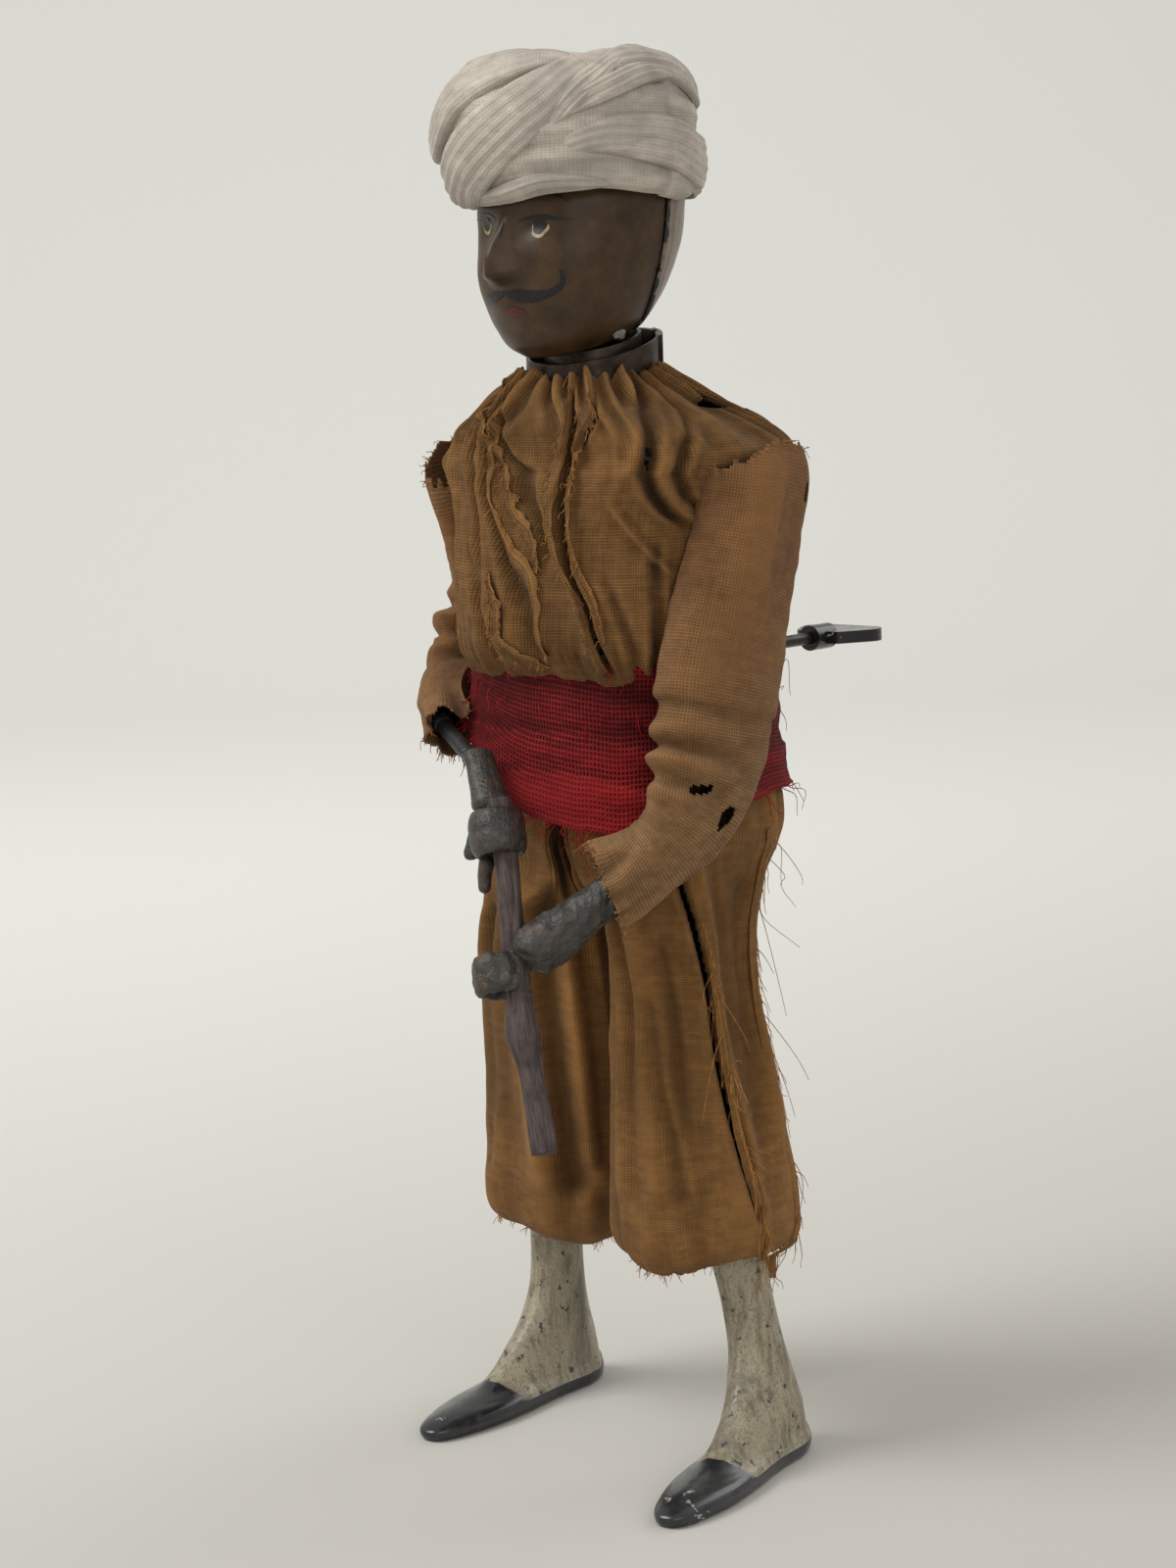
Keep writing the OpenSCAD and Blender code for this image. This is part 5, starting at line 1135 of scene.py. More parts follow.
def hand(name, side):
    """A cast hand: a wrist, the back of the hand, a pointed thumb or knuckle, and the closed grip, fused."""
    staff = unit(STAFF_END - STAFF_TOP)
    if side > 0:
        wrist, ring = LEFT_WRIST, LEFT_RING
        back = unit(wrist - ring)
        parts = [swept(name + "_wrist", [
            (*(wrist + 2.6 * back), 2.75, 2.75), (*wrist, 2.85, 2.85), (*(0.7 * wrist + 0.3 * ring), 3.1, 3.3),
            (*(0.42 * wrist + 0.58 * ring), 3.7, 4.3), (*(0.2 * wrist + 0.8 * ring + [0, 0, 0.3]), 3.6, 4.6),
            (*(ring + 2.2 * back), 3.0, 4.0)], 0.10, 41, round_start=False),
            grip_ring(name + "_grip", ring, staff, 0.95, 2.9, 1),
            swept(name + "_thumb", [(*(ring + [2.2, 1.0, -1.0]), 1.3, 1.2), (*(ring + [3.6, 0.0, -4.2]), 1.35, 1.2),
                                    (*(ring + [2.6, -1.6, -6.3]), 0.9, 0.9)], 0.05, 42, 30)]
    else:
        wrist, ring = RIGHT_WRIST, RIGHT_RING
        back = unit(wrist - ring)
        parts = [swept(name + "_wrist", [
            (*(wrist + 2.8 * back), 1.7, 2.3), (*wrist, 1.8, 2.4), (*(0.5 * wrist + 0.5 * ring), 2.4, 3.0),
            (*(ring + 2.6 * back), 2.8, 3.6)], 0.04, 43, round_start=False),
            grip_ring(name + "_grip", ring, staff, 1.0, 3.3, 2),
            swept(name + "_fist", [(*(ring + [-2.4, 1.0, 2.0]), 2.0, 1.9), (*(ring + [-4.4, 0.2, -1.6]), 1.7, 1.5),
                                   (*(ring + [-5.9, -0.6, -4.3]), 0.8, 0.8)], 0.03, 44, 40),
            swept(name + "_knuckle", [(*(ring + [-1.9, -0.6, -3.4]), 1.2, 1.2),
                                      (*(ring + [-2.3, -1.0, -7.2]), 1.0, 0.9),
                                      (*(ring + [-1.9, -1.2, -8.8]), 0.9, 0.9)], 0.02, 45, 30)]
    whole = skinned(join(name, parts), 0.26)
    return cast_grain(whole, 0.16 if side > 0 else 0.05, 46)


def cast_grain(obj, depth, seed):
    """Pits and lumps of the casting, moved along the normals by smooth noise in space."""
    mesh = obj.data
    count = len(mesh.vertices)
    place, normal = np.empty(count * 3), np.empty(count * 3)
    mesh.vertices.foreach_get("co", place)
    mesh.vertices.foreach_get("normal", normal)
    place, normal = place.reshape(-1, 3), normal.reshape(-1, 3)
    p = place / MM
    lump = ripple(p[:, 0] + 0.7 * p[:, 2], p[:, 1] - 0.6 * p[:, 2], seed, 0.22, 3)
    lump = lump + 0.6 * ripple(p[:, 1] + 0.5 * p[:, 0], p[:, 2] - 0.5 * p[:, 0], seed + 1, 0.5, 2)
    mesh.vertices.foreach_set("co", (place + normal * (depth * MM * lump)[:, None]).ravel())
    mesh.polygons.foreach_set("use_smooth", np.ones(len(mesh.polygons), bool))
    mesh.update()
    return obj


def twig(name):
    """The staff: a split twig. Long flat facets turn slowly along it, dark splits run along the grain, a knot swells
    two thirds down, and both ends are cut off square."""
    t = np.linspace(0, 1, 260)
    path = STAFF_TOP + (STAFF_END - STAFF_TOP) * t[:, None]
    path = path + 0.35 * np.stack([np.sin(7 * t + 1), np.cos(6 * t), 0 * t], -1) * smoothstep(0, 0.3, t)[:, None]
    length = np.linalg.norm(STAFF_END - STAFF_TOP)
    along = (t * length)[:, None]
    angle = circle(56)[None]
    facets = np.abs(np.cos(2.5 * (angle + 0.35 * np.sin(along * 0.16)))) ** 0.7
    radius = 1.52 + 0.34 * facets + 0.16 * ripple(angle * 1.8 + 0 * along, along * 0.22, 51, 0.6, 2)
    knot_at = 0.66 * length
    radius = radius + 0.62 * bump(along, knot_at, 3.2) * (1 + 0.6 * np.cos(angle - 2.6)) - 0.12 * bump(
        along, knot_at + 6, 3)
    for start, end, where, deep in ((2, 17, 4.4, 0.30), (9, 30, 5.1, 0.38), (24, 33, 3.9, 0.5), (33, 47, 4.8, 0.28),
                                    (12, 40, 1.3, 0.3), (20, 44, 2.4, 0.35), (0, 12, 3.5, 0.25), (1, 26, 5.6, 0.4),
                                    (26, 48, 5.5, 0.45)):
        here = smoothstep(start, start + 2, along) * smoothstep(end, end - 2, along)
        off = (angle - where - 0.012 * (along - start) + math.pi) % (2 * math.pi) - math.pi
        radius = radius - 1.5 * deep * here * bump(off, 0, 0.1)
    radius = np.minimum(radius, np.where(np.abs(along - knot_at) < 6, 3.0, 2.02))
    return grid_surface(name, tube_points(path, radius, radius, angle), caps=(True, True))


LEG_ROWS = np.array([
    # height, reach forwards and backwards of the ankle, half width, exponent in front
    [0.0, 31.2, 7.4, 4.5, 2.7], [0.5, 31.9, 7.9, 5.2, 2.7], [1.6, 32.0, 8.0, 5.5, 2.7], [2.4, 30.4, 8.0, 5.4, 2.6],
    [2.9, 27.2, 7.9, 5.2, 2.5], [3.3, 22.8, 7.9, 5.0, 2.4], [3.9, 18.6, 7.7, 4.8, 2.3], [5.0, 16.2, 7.5, 4.7, 2.2],
    [6.4, 14.5, 7.2, 4.55, 2.15], [8.2, 12.7, 6.8, 4.4, 2.1], [10.4, 10.4, 6.1, 4.25, 2.0],
    [13.4, 7.8, 5.3, 4.05, 2.0], [17.5, 5.3, 4.6, 3.85, 2.0], [23.0, 4.4, 4.2, 3.8, 2.0], [30.0, 4.2, 4.2, 4.0, 2.0],
    [38.0, 4.4, 4.4, 4.2, 2.0], [45.0, 4.6, 4.6, 4.4, 2.0]])


def leg_form(name, side):
    """A leg and its foot in one skin: level sections whose reach forwards and backwards, width and squareness follow
    splines in height, set on a line from ankle to knee. The slipper is a painted layer: its border runs low round
    the sides, up over the heel, and across the instep, and it stands a hair proud of the stocking."""
    knee = np.array([21.3, -3.7]) if side > 0 else np.array([-21.3, 5.0])
    ankle = np.array([23.5, -0.7]) if side > 0 else np.array([-23.5, 8.0])
    turn = math.radians(11 if side > 0 else 3)
    t = np.linspace(0, len(LEG_ROWS) - 1, 210)
    row = spline(np.arange(len(LEG_ROWS)), LEG_ROWS, t)[:, None]
    angle = circle(120)[None]
    c, s = np.cos(angle), np.sin(angle)
    height = row[..., 0] + 0 * angle
    power = np.where(c > 0, 2 / row[..., 4], 1.0)
    longer = 1.6 * smoothstep(8, 22, row[..., 1])
    along = np.where(c > 0, row[..., 1] + longer, row[..., 2]) * np.sign(c) * np.abs(c) ** power
    across = row[..., 3] * np.sign(s) * np.abs(s) ** power
    across = across * (1 + 0.07 * bump(along, 22, 6) * smoothstep(8, 3, height) - 0.1 * bump(along, 6, 6)
                       * smoothstep(9, 2, height))
    crest = 0.4 * bump(across, 0, 2.4) * smoothstep(6, 18, along) * smoothstep(2.0, 3.2, height)
    border = 2.2 + 1.7 * smoothstep(-3, -7.5, along) + 9 * smoothstep(17.2, 19.4, along + 0.3 * np.abs(across))
    slipper = smoothstep(border + 0.18, border - 0.18, height)
    shin = 0.10 * ripple(angle * 4 + 0 * height, height * 0.25, 61 + side, 0.6, 2)
    lift = 0.14 * slipper + shin * (1 - slipper)
    norm = np.maximum(np.hypot(along, across), 0.01)
    along, across = along * (1 + lift / norm), across * (1 + lift / norm)
    middle = ankle + (knee - ankle) * np.clip((height - 8) / 20, 0, 2)[..., None]
    x = middle[..., 0] + across * math.cos(turn) + along * math.sin(turn)
    y = middle[..., 1] + across * math.sin(turn) - along * math.cos(turn)
    points = np.stack([x, y, height + crest], -1)
    edge = 1.2 * bump(along, 31, 3.5) + 0.3 * bump(height, 1.2, 0.8)
    return grid_surface(name, points, caps=(True, True), fields={"slipper": slipper, "edge": np.clip(edge, 0, 1)})


def solder_spot(name, centre, radius, seed):
    """A blob of solder: a low dome whose outline and height waver."""
    angle = circle(40)[None]
    t = np.linspace(0.02, 1, 18)[:, None]
    reach = radius * t * (1 + 0.16 * np.sin(2 * angle + seed) + 0.08 * np.sin(5 * angle))
    rise = 0.55 * radius * np.sqrt(np.clip(1 - t**2, 0, 1)) + 0.06 * ripple(reach * np.cos(angle), reach * np.sin(
        angle), seed, 0.12)
    out = unit(np.array([centre[0], centre[1] - HEAD_Y, 0.0]))
    side = np.array([-out[1], out[0], 0.0])
    points = (np.asarray(centre) + out * (rise - 0.2)[..., None] + side * (reach * np.cos(angle))[..., None]
              + np.array([0, 0, 1.0]) * (reach * np.sin(angle))[..., None])
    return grid_surface(name, points, caps=(True, False))


# Settings

def length(name, text, default, low, high):
    """A length in metres that the panel shows."""
    return bpy.props.FloatProperty(name=name, description=text, default=default, min=low, max=high, precision=5,
                                   unit="LENGTH")


def colour(name, text, default):
    """A colour that the panel shows."""
    return bpy.props.FloatVectorProperty(name=name, description=text, default=default, size=3, min=0, max=1,
                                         subtype="COLOR")


class FigureSizes(bpy.types.PropertyGroup):
    """Sizes of the cloth and of the studio."""

    cloth: length("Cloth Thickness", "Thickness of the cotton clothes", 0.00025, 0.0001, 0.0006)
    gauze: length("Gauze Thickness", "Thickness of the sash's gauze", 0.0002, 0.0001, 0.0005)
    yarn: length("Yarn Diameter", "Diameter of the loose threads", 0.00016, 0.00008, 0.0004)
    tin: length("Tin Thickness", "Thickness of the pressed head", 0.00045, 0.0002, 0.0008)
    weave: length("Weave Pitch", "Distance between the threads of the cotton", 0.00044, 0.0002, 0.001)
    lens: bpy.props.FloatProperty(name="Lens", description="Focal length of the camera in millimetres", default=78.9,
                                  min=20, max=300)
    lamp: bpy.props.FloatProperty(name="Lamp Power", description="Power of the main lamp", default=7.0, min=0,
                                  max=200, unit="POWER")


class FigureColours(bpy.types.PropertyGroup):
    """Colours of the finishes, linear."""

    face: colour("Face", "Brown paint of the face", (0.055, 0.029, 0.0115))
    scalp: colour("Back of Head", "Worn brown of the back of the head", (0.185, 0.14, 0.105))
    muslin: colour("Turban", "Greyed white muslin of the turban", (0.53, 0.475, 0.405))
    blouse: colour("Blouse", "Brown cotton of the blouse", (0.215, 0.106, 0.034))
    tan: colour("Sleeves", "Tan cotton of the sleeves", (0.215, 0.104, 0.040))
    faded: colour("Faded Sleeves", "Paler tan below the elbows", (0.33, 0.19, 0.085))
    brown: colour("Trousers", "Brown cotton of the trousers", (0.262, 0.128, 0.040))
    gauze: colour("Sash", "Madder red gauze", (0.255, 0.011, 0.013))
    stocking: colour("Stockings", "Ivory paint of the legs", (0.34, 0.295, 0.20))
    slipper: colour("Slippers", "Charcoal enamel of the slippers", (0.012, 0.013, 0.015))
    lead: colour("Hands", "Grey of the cast hands", (0.042, 0.040, 0.036))
    stick: colour("Staff", "Grey brown of the twig", (0.075, 0.052, 0.047))
    # The floor's grey in front is painted shade; the grey far behind is paler.
    paper: colour("Backdrop", "Grey of the floor in front", (0.52, 0.50, 0.46))


def sizes():
    """The sizes set in the panel, in mm."""
    group = bpy.context.scene.figure_sizes
    return {key: getattr(group, key) / MM for key in ("cloth", "gauze", "yarn", "tin", "weave")}


def colours(key):
    """One colour set in the panel."""
    return tuple(getattr(bpy.context.scene.figure_colours, key))


# Operators

class FIGURE_OT_clockwork(bpy.types.Operator):
    """Gives the tin case, the wheels and the other metal pieces their finishes"""

    bl_idname = "figure.clockwork"
    bl_label = "Clockwork"

    def execute(self, context):
        tin = metal("worn_tin", (0.36, 0.35, 0.33), (0.20, 0.17, 0.14), (0.35, 0.6))
        lacquer = paint("case_lacquer", (0.05, 0.033, 0.024), (0.16, 0.14, 0.12), 0.68, edge=False)
        brass = metal("motor_brass", (0.62, 0.42, 0.16), (0.32, 0.21, 0.09), (0.25, 0.5))
        blued = metal("spring_steel", (0.16, 0.17, 0.20), (0.10, 0.09, 0.09), (0.2, 0.4))
        bright = metal("steel", (0.5, 0.49, 0.47), (0.25, 0.2, 0.16), (0.25, 0.5))
        dull = metal("blackened_steel", (0.05, 0.045, 0.04), (0.02, 0.015, 0.012), (0.3, 0.55))
        black = paint("black_enamel", (0.012, 0.012, 0.012), (0.32, 0.29, 0.24), 0.64, (0.18, 0.4), 0.4, edge=False)
        strip = paint("black_strip", (0.022, 0.021, 0.02), (0.25, 0.22, 0.19), 0.62, (0.35, 0.6), 0.1, edge=False)
        collar = metal("collar_tin", (0.075, 0.055, 0.042), (0.028, 0.018, 0.012), (0.3, 0.55))
        red = felt("red_felt", (0.28, 0.03, 0.025))
        finishes = (
            (lacquer, "torso_front torso_back"), (tin, "shoulder_plate axle_lever leg_beam"),
            (collar, "neck_tube neck_collar"), (red, "fez_cap"), (blued, "mainspring click_spring"),
            (black, "key_handle"), (dull, "winding_arbor"),
            (strip, "left_arm right_arm left_leg_strip right_leg_strip"),
            (brass, "motor_front_plate motor_back_plate great_wheel second_wheel crank_disc flywheel"),
            (bright, "plate_pillars pillar_nuts hip_pin beam_stud ratchet_wheel click second_arbor second_pinion"),
            (bright, "crank_pin fly_arbor fly_pinion shoulder_axle arm_rivets arm_rod"))
        for material, nodes in finishes:
            for node in nodes.split():
                mesh = frame["nodes"][node].data
                mesh.materials.clear()
                mesh.materials.append(material)
        return {"FINISHED"}


class FIGURE_OT_head(bpy.types.Operator):
    """Makes the pressed face, the back of the head, and the painted features"""

    bl_idname = "figure.head"
    bl_label = "Head"

    def execute(self, context):
        seat(shell_of_head("face", False), "torso", paint(
            "face_paint", colours("face"), (0.008, 0.008, 0.008), 0.84, (0.34, 0.5), 0.05, (0.6, 1.5), 260),
            ("face_shell",))
        seat(shell_of_head("back_of_head", True), "torso", paint(
            "scalp_paint", colours("scalp"), (0.02, 0.02, 0.02), 0.8, (0.3, 0.55), 0.25, (0.7, 1.4), 300),
            ("head_back",))
        black = decal("brow_black", (0.012, 0.01, 0.01))
        white = decal("eye_white", (0.36, 0.30, 0.17))
        red = decal("lip_red", (0.09, 0.014, 0.010))
        strokes = [
            ("left_brow", [(2.4, 23.6), (4.6, 24.6), (7.0, 24.4), (9.0, 23.2)], (0.2, 0.6, 0.55, 0.15)),
            ("right_brow", [(-2.4, 24.4), (-4.6, 25.6), (-7.0, 25.3), (-8.6, 24.2)], (0.2, 0.6, 0.5, 0.15)),
            ("left_lash", [(2.4, 20.8), (3.9, 21.1), (5.8, 21.2), (7.8, 20.9), (9.8, 20.7)],
             (0.2, 0.55, 0.7, 0.5, 0.15)),
            ("right_lash", [(-1.9, 21.2), (-3.4, 21.7), (-5.2, 21.8), (-7.2, 21.5), (-8.8, 21.2)],
             (0.2, 0.5, 0.7, 0.5, 0.15)),
            ("bridge", [(0.2, 21.5), (0.6, 20.0), (0.9, 18.4)], (0.15, 0.5, 0.15)),
            ("left_moustache", [(0.2, 10.8), (2.4, 10.5), (5.0, 10.4), (7.2, 11.2), (8.1, 12.4), (8.1, 13.9)],
             (0.6, 1.7, 1.7, 1.1, 0.6, 0.2)),
            ("right_moustache", [(-0.2, 10.9), (-2.0, 10.5), (-4.2, 10.5), (-6.0, 11.6), (-6.9, 13.8)],
             (0.7, 1.8, 1.4, 0.9, 0.25))]
        for name, middle, width in strokes:
            seat(stroke(name, middle, width), "torso", black)
        for name, off, high in (("left_eye", 5.5, 19.6), ("right_eye", -4.9, 20.3)):
            seat(spot(name + "_white", (off, high), 1.25, 1.2, lift=0.05), "torso", white)
            seat(spot(name + "_iris", (off - 0.08, high + 0.35), 1.06, 1.05, lift=0.09), "torso", black)
        seat(spot("lower_lip", (1.3, 8.2), 1.5, 0.75), "torso", red)
        drop = in_figure(head_point(np.array(0.12), np.array(0.045), 0.05))
        seat(solder_spot("solder_spot", drop, 1.15, 2), "torso", metal(
            "solder", (0.32, 0.31, 0.3), (0.16, 0.14, 0.13), (0.35, 0.6)))
        return {"FINISHED"}


class FIGURE_OT_turban(bpy.types.Operator):
    """Winds the turban: the wound cloth and its wraps, which make the lobes on top"""

    bl_idname = "figure.turban"
    bl_label = "Turban"

    def execute(self, context):
        size = sizes()
        material = cloth("turban_muslin", colours("muslin"), size["weave"], 0.88, 1.2, 0.55, 0.14, 0.06, 0.5, 0.3)
        whole = join("turban_cloth", [turban_body("turban_cloth"), *[wrap(*row) for row in TURBAN_WRAPS]])
        seat(whole, "torso", material, ("turban",))
        return {"FINISHED"}


class FIGURE_OT_blouse(bpy.types.Operator):
    """Makes the gathered blouse with its folds, torn slits, holes and loose threads"""

    bl_idname = "figure.blouse"
    bl_label = "Blouse"

    def execute(self, context):
        size = sizes()
        points, gap, fold = blouse_surface()
        piece = grid_surface("blouse_cloth", points, keep=quads_where(gap > 0), fields={"fold": fold})
        thicken(piece, size["cloth"])
        material = cloth("blouse_cotton", colours("blouse"), size["weave"], 0.88, 1.75, 0.3, 0.34, 0.04, 0.7)
        seat(piece, "torso", material, ("blouse",))
        pieces, edges = [], [points[0, ::2], points[-1, ::2] + [0, 0, 1]]
        for number, (places, widths, stand) in enumerate(BLOUSE_STRIPS):
            strip, line = torn_strip("blouse_strip_%d" % number, places, widths, stand, 40 + number,
                                     lambda angle, height: blouse_form(angle, height)[0])
            thicken(strip, size["cloth"] * 0.8)
            pieces.append(seat(strip, "torso", material))
            edges += [line[:, 0], line[:, -1]]
        roots = np.vstack(edges)
        out = unit(roots * [1, 1, 0] + [0, 0, 1e-6])
        pieces.append(seat(frayed("blouse_threads", roots, out + [0, 0, -0.6], 380, (0.4, 1.4), 45), "torso",
                           yarn("blouse_yarn", colours("blouse"))))
        return {"FINISHED"}


class FIGURE_OT_sleeves(bpy.types.Operator):
    """Makes both sleeves with their elbow creases and frayed cuffs"""

    bl_idname = "figure.sleeves"
    bl_label = "Sleeves"

    def execute(self, context):
        size = sizes()
        material = cloth("sleeve_cotton", colours("tan"), size["weave"], 0.88, 1.6, 0.4, 0.3, 0.04, 0.7, 0.6,
                         colours("faded"))
        loose = yarn("sleeve_yarn", colours("tan"))
        for name, stations, side, seed in (("left_sleeve_cloth", SLEEVE_LEFT, 1, 81),
                                           ("right_sleeve_cloth", SLEEVE_RIGHT, -1, 85)):
            points, lift, down, full, angle = sleeve_surface(stations, side, seed)
            hem = full - 0.6 - 0.5 * ripple(angle * 6 + 0 * down, 0 * down, seed, 0.25, 3)
            top = 1.2 + 4.0 * smoothstep(0.1, 1, np.sin(angle)) + 0.6 * ripple(angle * 6, 0 * down + 5, seed, 0.3, 2)
            whole = (down < hem) & (down > top)
            for centre, reach in SLEEVE_HOLES[name]:
                away = np.linalg.norm((points - centre) / reach, axis=-1)
                whole &= away > 1 + 0.35 * ripple(points[..., 1] * 1.2, points[..., 2] * 1.2, seed + 9, 0.9)
            # The fold field is painted light: painted shade in the hollows, painted highlight on the crests.
            piece = grid_surface(name, points, keep=quads_where(whole),
                                 fields={"fold": np.clip(0.5 + 0.42 * lift, 0, 1)})
            thicken(piece, size["cloth"])
            seat(piece, None, material, (name.replace("_cloth", ""),))
            middle = points.mean(1, keepdims=True)
            around = unit(points - middle)
            first = (top < down).argmax(0) + 1
            last = whole.sum(0) + first - 3
            lane = np.arange(points.shape[1])
            roots = np.vstack([points[last, lane], points[first, lane]])
            way = np.vstack([around[last, lane] * 0.5 + unit(points[-1] - points[-9]),
                             around[first, lane] * 0.7 + [0, 0, 0.8]])
            fringe = frayed(name.replace("cloth", "threads"), roots, way, 170, (0.3, 1.3), seed + 3)
            seat(fringe, None, loose)
            for part in (piece, fringe):
                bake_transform(part)
        return {"FINISHED"}


class FIGURE_OT_sash(bpy.types.Operator):
    """Winds the red gauze sash"""

    bl_idname = "figure.sash"
    bl_label = "Sash"

    def execute(self, context):
        size = sizes()
        points, fold, angle = sash_surface()
        piece = grid_surface("sash_gauze", points, fields={"fold": fold})
        thicken(piece, size["gauze"])
        material = cloth("sash_gauze", colours("gauze"), 0.6, 0.8, 1.5, 0.12, 0.3, 0.02, 0.9, 0.95)
        seat(piece, "torso", material, ("sash",))
        front = (angle > math.radians(-140)) & (angle < math.radians(-30))
        roots = np.vstack([points[-1, front], points[-1, front], points[-1, ::4], points[30, ::3], points[0, ::4]])
        way = unit(roots * [1, 1, 0]) * 0.5 + [0, 0, -0.8]
        fringe = seat(frayed("sash_threads", roots, way, 230, (0.8, 4.2), 49), "torso",
                      yarn("sash_yarn", colours("gauze")))
        return {"FINISHED"}


class FIGURE_OT_trousers(bpy.types.Operator):
    """Makes both trouser legs with their seams, folds and torn hems"""

    bl_idname = "figure.trousers"
    bl_label = "Trousers"

    def execute(self, context):
        size = sizes()
        material = cloth("trouser_cotton", colours("brown"), size["weave"] * 0.8, 0.8, 1.5, 0.3, 0.3, 0.03, 0.5)
        loose = yarn("trouser_yarn", colours("brown"))
        for name, form, side, creases, seed in (("left_trouser_cloth", TROUSER_LEFT, 1, LEFT_CREASES, 91),
                                                ("right_trouser_cloth", TROUSER_RIGHT, -1, RIGHT_CREASES, 95)):
            points, fold, gap, angle, level = trouser_surface(form, side, creases, seed)
            ragged = 0.988 - 0.01 * ripple(angle * 13 + 0 * level, 0 * level, seed, 0.3, 3)
            in_case = (np.abs(points[..., 0]) < 15) & (np.abs(points[..., 1]) < 12.2) & (points[..., 2] > 96)
            keep = quads_where((level < ragged) & (gap > 0) & ~in_case)
            piece = grid_surface(name, points, keep=keep, fields={"fold": fold})
            thicken(piece, size["cloth"])
            replaced = ("left_trouser", "trouser_seat") if side > 0 else ("right_trouser",)
            seat(piece, None, material, replaced)
            lane = np.arange(points.shape[1])
            last = np.minimum((level < ragged).sum(0) - 2, len(points) - 1)
            roots = points[last, lane]
            way = unit((roots - roots.mean(0)) * [1, 1, 0]) * 0.4 + [0, 0, -0.8]
            fringe = frayed(name.replace("cloth", "threads"), roots, way, 90, (0.3, 1.2), seed + 5)
            extra = [seat(fringe, None, loose)]
            if side > 0:
                for number, (places, widths, stand) in enumerate(TROUSER_STRIPS):
                    strip, line = torn_strip("trouser_strip_%d" % number, places, widths, stand, 60 + number,
                                             lambda angle, height: trouser_shell(form, angle, height))
                    thicken(strip, size["cloth"])
                    seat(strip, None, material)
                    edge = line[:, -1]
                    way = unit(edge - [13, 0, 0]) * [0.4, 0.4, 0] + [0, 0, -1.2]
                    tail = frayed("trouser_strip_threads_%d" % number, edge, way, 60, (0.8, 6.0), 65 + number, 0.8)
                    extra += [strip, seat(tail, None, loose)]
            for part in (piece, *extra):
                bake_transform(part)
        return {"FINISHED"}


class FIGURE_OT_limbs(bpy.types.Operator):
    """Casts both hands, cuts the staff, and makes both painted legs with their slippers"""

    bl_idname = "figure.limbs"
    bl_label = "Hands, Staff and Legs"

    def execute(self, context):
        lead = cast_lead("cast_lead", colours("lead"), (0.09, 0.06, 0.035), (0.10, 0.11, 0.075))
        seat(hand("left_hand_cast", 1), "arms", lead, ("left_hand",))
        seat(hand("right_hand_cast", -1), "arms", lead, ("right_hand",))
        seat(twig("staff_twig"), "arms", bark("staff_bark", colours("stick")), ("staff",))
        painted = stocking_paint("leg_enamel", colours("stocking"), colours("slipper"))
        seat(leg_form("left_leg_form", 1), "left_leg", painted, ("left_foot",))
        seat(leg_form("right_leg_form", -1), "right_leg", painted, ("right_foot",))
        return {"FINISHED"}


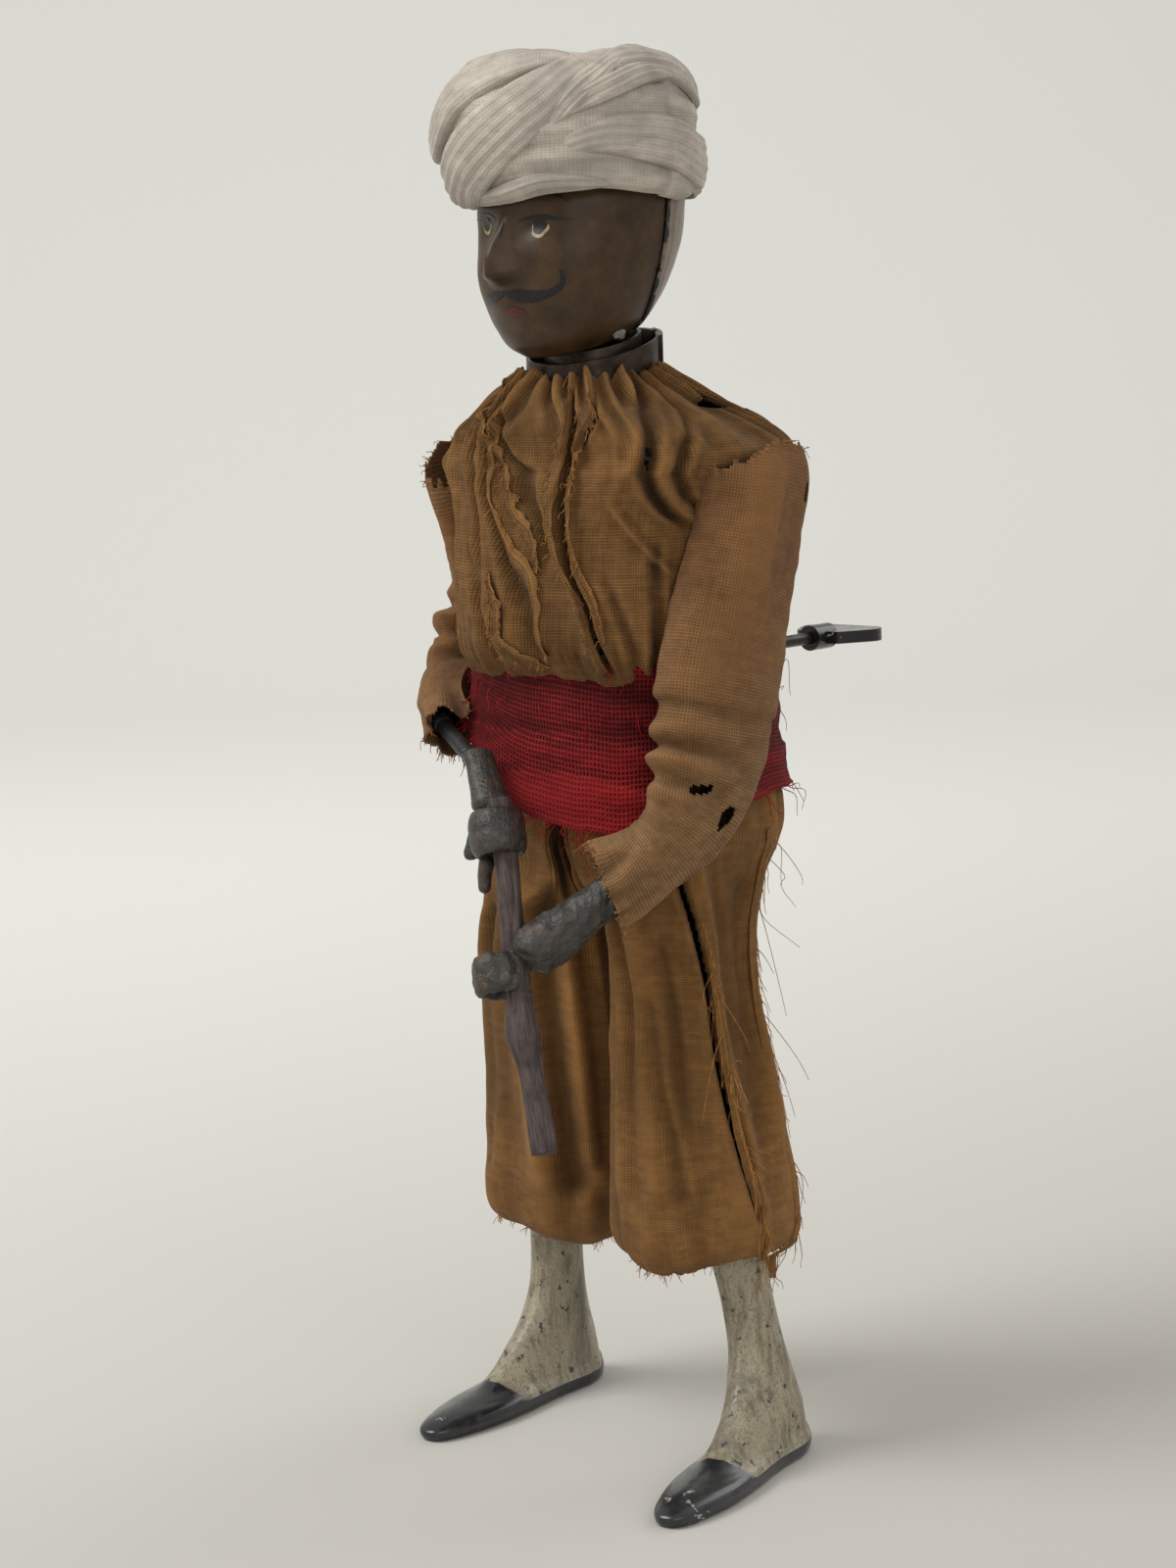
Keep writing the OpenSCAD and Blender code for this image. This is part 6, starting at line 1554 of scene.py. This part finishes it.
class FIGURE_OT_stage(bpy.types.Operator):
    """Sets the floor with its backdrop, the lamps and the camera"""

    bl_idname = "figure.stage"
    bl_label = "Stage"

    def execute(self, context):
        scene = context.scene
        reach, bend, top, yaw = 900, 500, 1800, math.radians(39.6)
        turn = np.linspace(0.02, math.pi / 2, 50)
        along = np.concatenate([np.linspace(-reach, reach, 60), reach + bend * np.sin(turn), np.full(20, reach + bend)])
        up = np.concatenate([np.zeros(60), bend * (1 - np.cos(turn)), np.linspace(bend + 10, top, 20)])
        across = np.linspace(-2200, 2200, 60)
        forward, side = np.array([-math.sin(yaw), math.cos(yaw), 0]), np.array([math.cos(yaw), math.sin(yaw), 0])
        points = (along[:, None, None] * forward + across[None, :, None] * side
                  + up[:, None, None] * np.array([0, 0, 1.0]))
        # pale is painted light on the floor: painted shade in front of the figure and towards the right, paler far
        # behind.
        pale = np.clip(0.15 + 0.85 * smoothstep(-150, 650, along[:, None]) - 0.55 * smoothstep(
            -150, 450, across[None]) * smoothstep(1500, 300, along[:, None]), 0, 1)
        floor = grid_surface("studio_floor", points, closed=False, fields={"pale": pale}, about=(0, 0, -4000))
        floor.data.materials.append(grounds("studio_paper", colours("paper"), (0.90, 0.905, 0.86)))
        world = bpy.data.worlds.new("studio_world")
        world.use_nodes = True
        sky = world.node_tree.nodes["Background"].inputs
        sky["Color"].default_value = (0.9, 0.885, 0.86, 1)
        sky["Strength"].default_value = 0.6
        scene.world = world
        for name, place, size, power in (("key_lamp", (-420, -620, 900), 0.55, 1.0),
                                         ("fill_lamp", (900, -500, 600), 0.9, 0.35),
                                         ("rim_lamp", (200, 900, 700), 0.6, 0.3)):
            lamp = bpy.data.lights.new(name, "AREA")
            lamp.size = size
            lamp.energy = scene.figure_sizes.lamp * power
            placed(name, lamp, place, (0, 0, 110))
        camera = bpy.data.cameras.new("studio_camera")
        camera.lens = scene.figure_sizes.lens
        camera.sensor_width = 36
        camera.clip_start = 0.01
        scene.camera = placed("studio_camera", camera, (314.8, -390.0 + FRAME_Y, 170.5), (-0.8, -8.9 + FRAME_Y, 98.9),
                              math.radians(-1.63))
        scene.view_settings.view_transform = "Standard"
        return {"FINISHED"}


def placed(name, data, place, target, roll=0.0):
    """A lamp or camera at a place in mm that looks at its target."""
    obj = bpy.data.objects.new(name, data)
    obj.location = np.array(place) * MM
    obj.rotation_euler = facing(unit(np.array(target, float) - place), roll)
    bpy.context.scene.collection.objects.link(obj)
    return obj


def facing(forward, roll):
    """Euler angles that look along forward with the horizon turned by roll: the right vector is the level right
    vector turned towards up."""
    level = unit(np.cross(forward, [0, 0, 1.0]))
    up = np.cross(level, forward)
    right = level * math.cos(roll) + up * math.sin(roll)
    up = np.cross(right, forward)
    return Matrix(np.stack([right, up, -forward], -1).tolist()).to_euler()


class VIEW3D_PT_figure(bpy.types.Panel):
    """Lists the sizes, the colours and the pieces of the figure"""

    bl_label = "Clockwork Figure"
    bl_space_type = "VIEW_3D"
    bl_region_type = "UI"
    bl_category = "Figure"

    def draw(self, context):
        for group in (context.scene.figure_sizes, context.scene.figure_colours):
            box = self.layout.box()
            for key in group.__annotations__:
                box.prop(group, key)
        for operator in OPERATORS:
            self.layout.operator(operator.bl_idname)


OPERATORS = (FIGURE_OT_clockwork, FIGURE_OT_head, FIGURE_OT_turban, FIGURE_OT_blouse, FIGURE_OT_sleeves, FIGURE_OT_sash,
             FIGURE_OT_trousers, FIGURE_OT_limbs, FIGURE_OT_stage)
CLASSES = (FigureSizes, FigureColours, *OPERATORS, VIEW3D_PT_figure)


def register():
    for cls in CLASSES:
        bpy.utils.register_class(cls)
    bpy.types.Scene.figure_sizes = bpy.props.PointerProperty(type=FigureSizes)
    bpy.types.Scene.figure_colours = bpy.props.PointerProperty(type=FigureColours)


def unregister():
    del bpy.types.Scene.figure_sizes
    del bpy.types.Scene.figure_colours
    for cls in reversed(CLASSES):
        bpy.utils.unregister_class(cls)


def main():
    register()
    for operator in OPERATORS:
        group, name = operator.bl_idname.split(".")
        getattr(getattr(bpy.ops, group), name)()


if __name__ == "__main__":
    main()
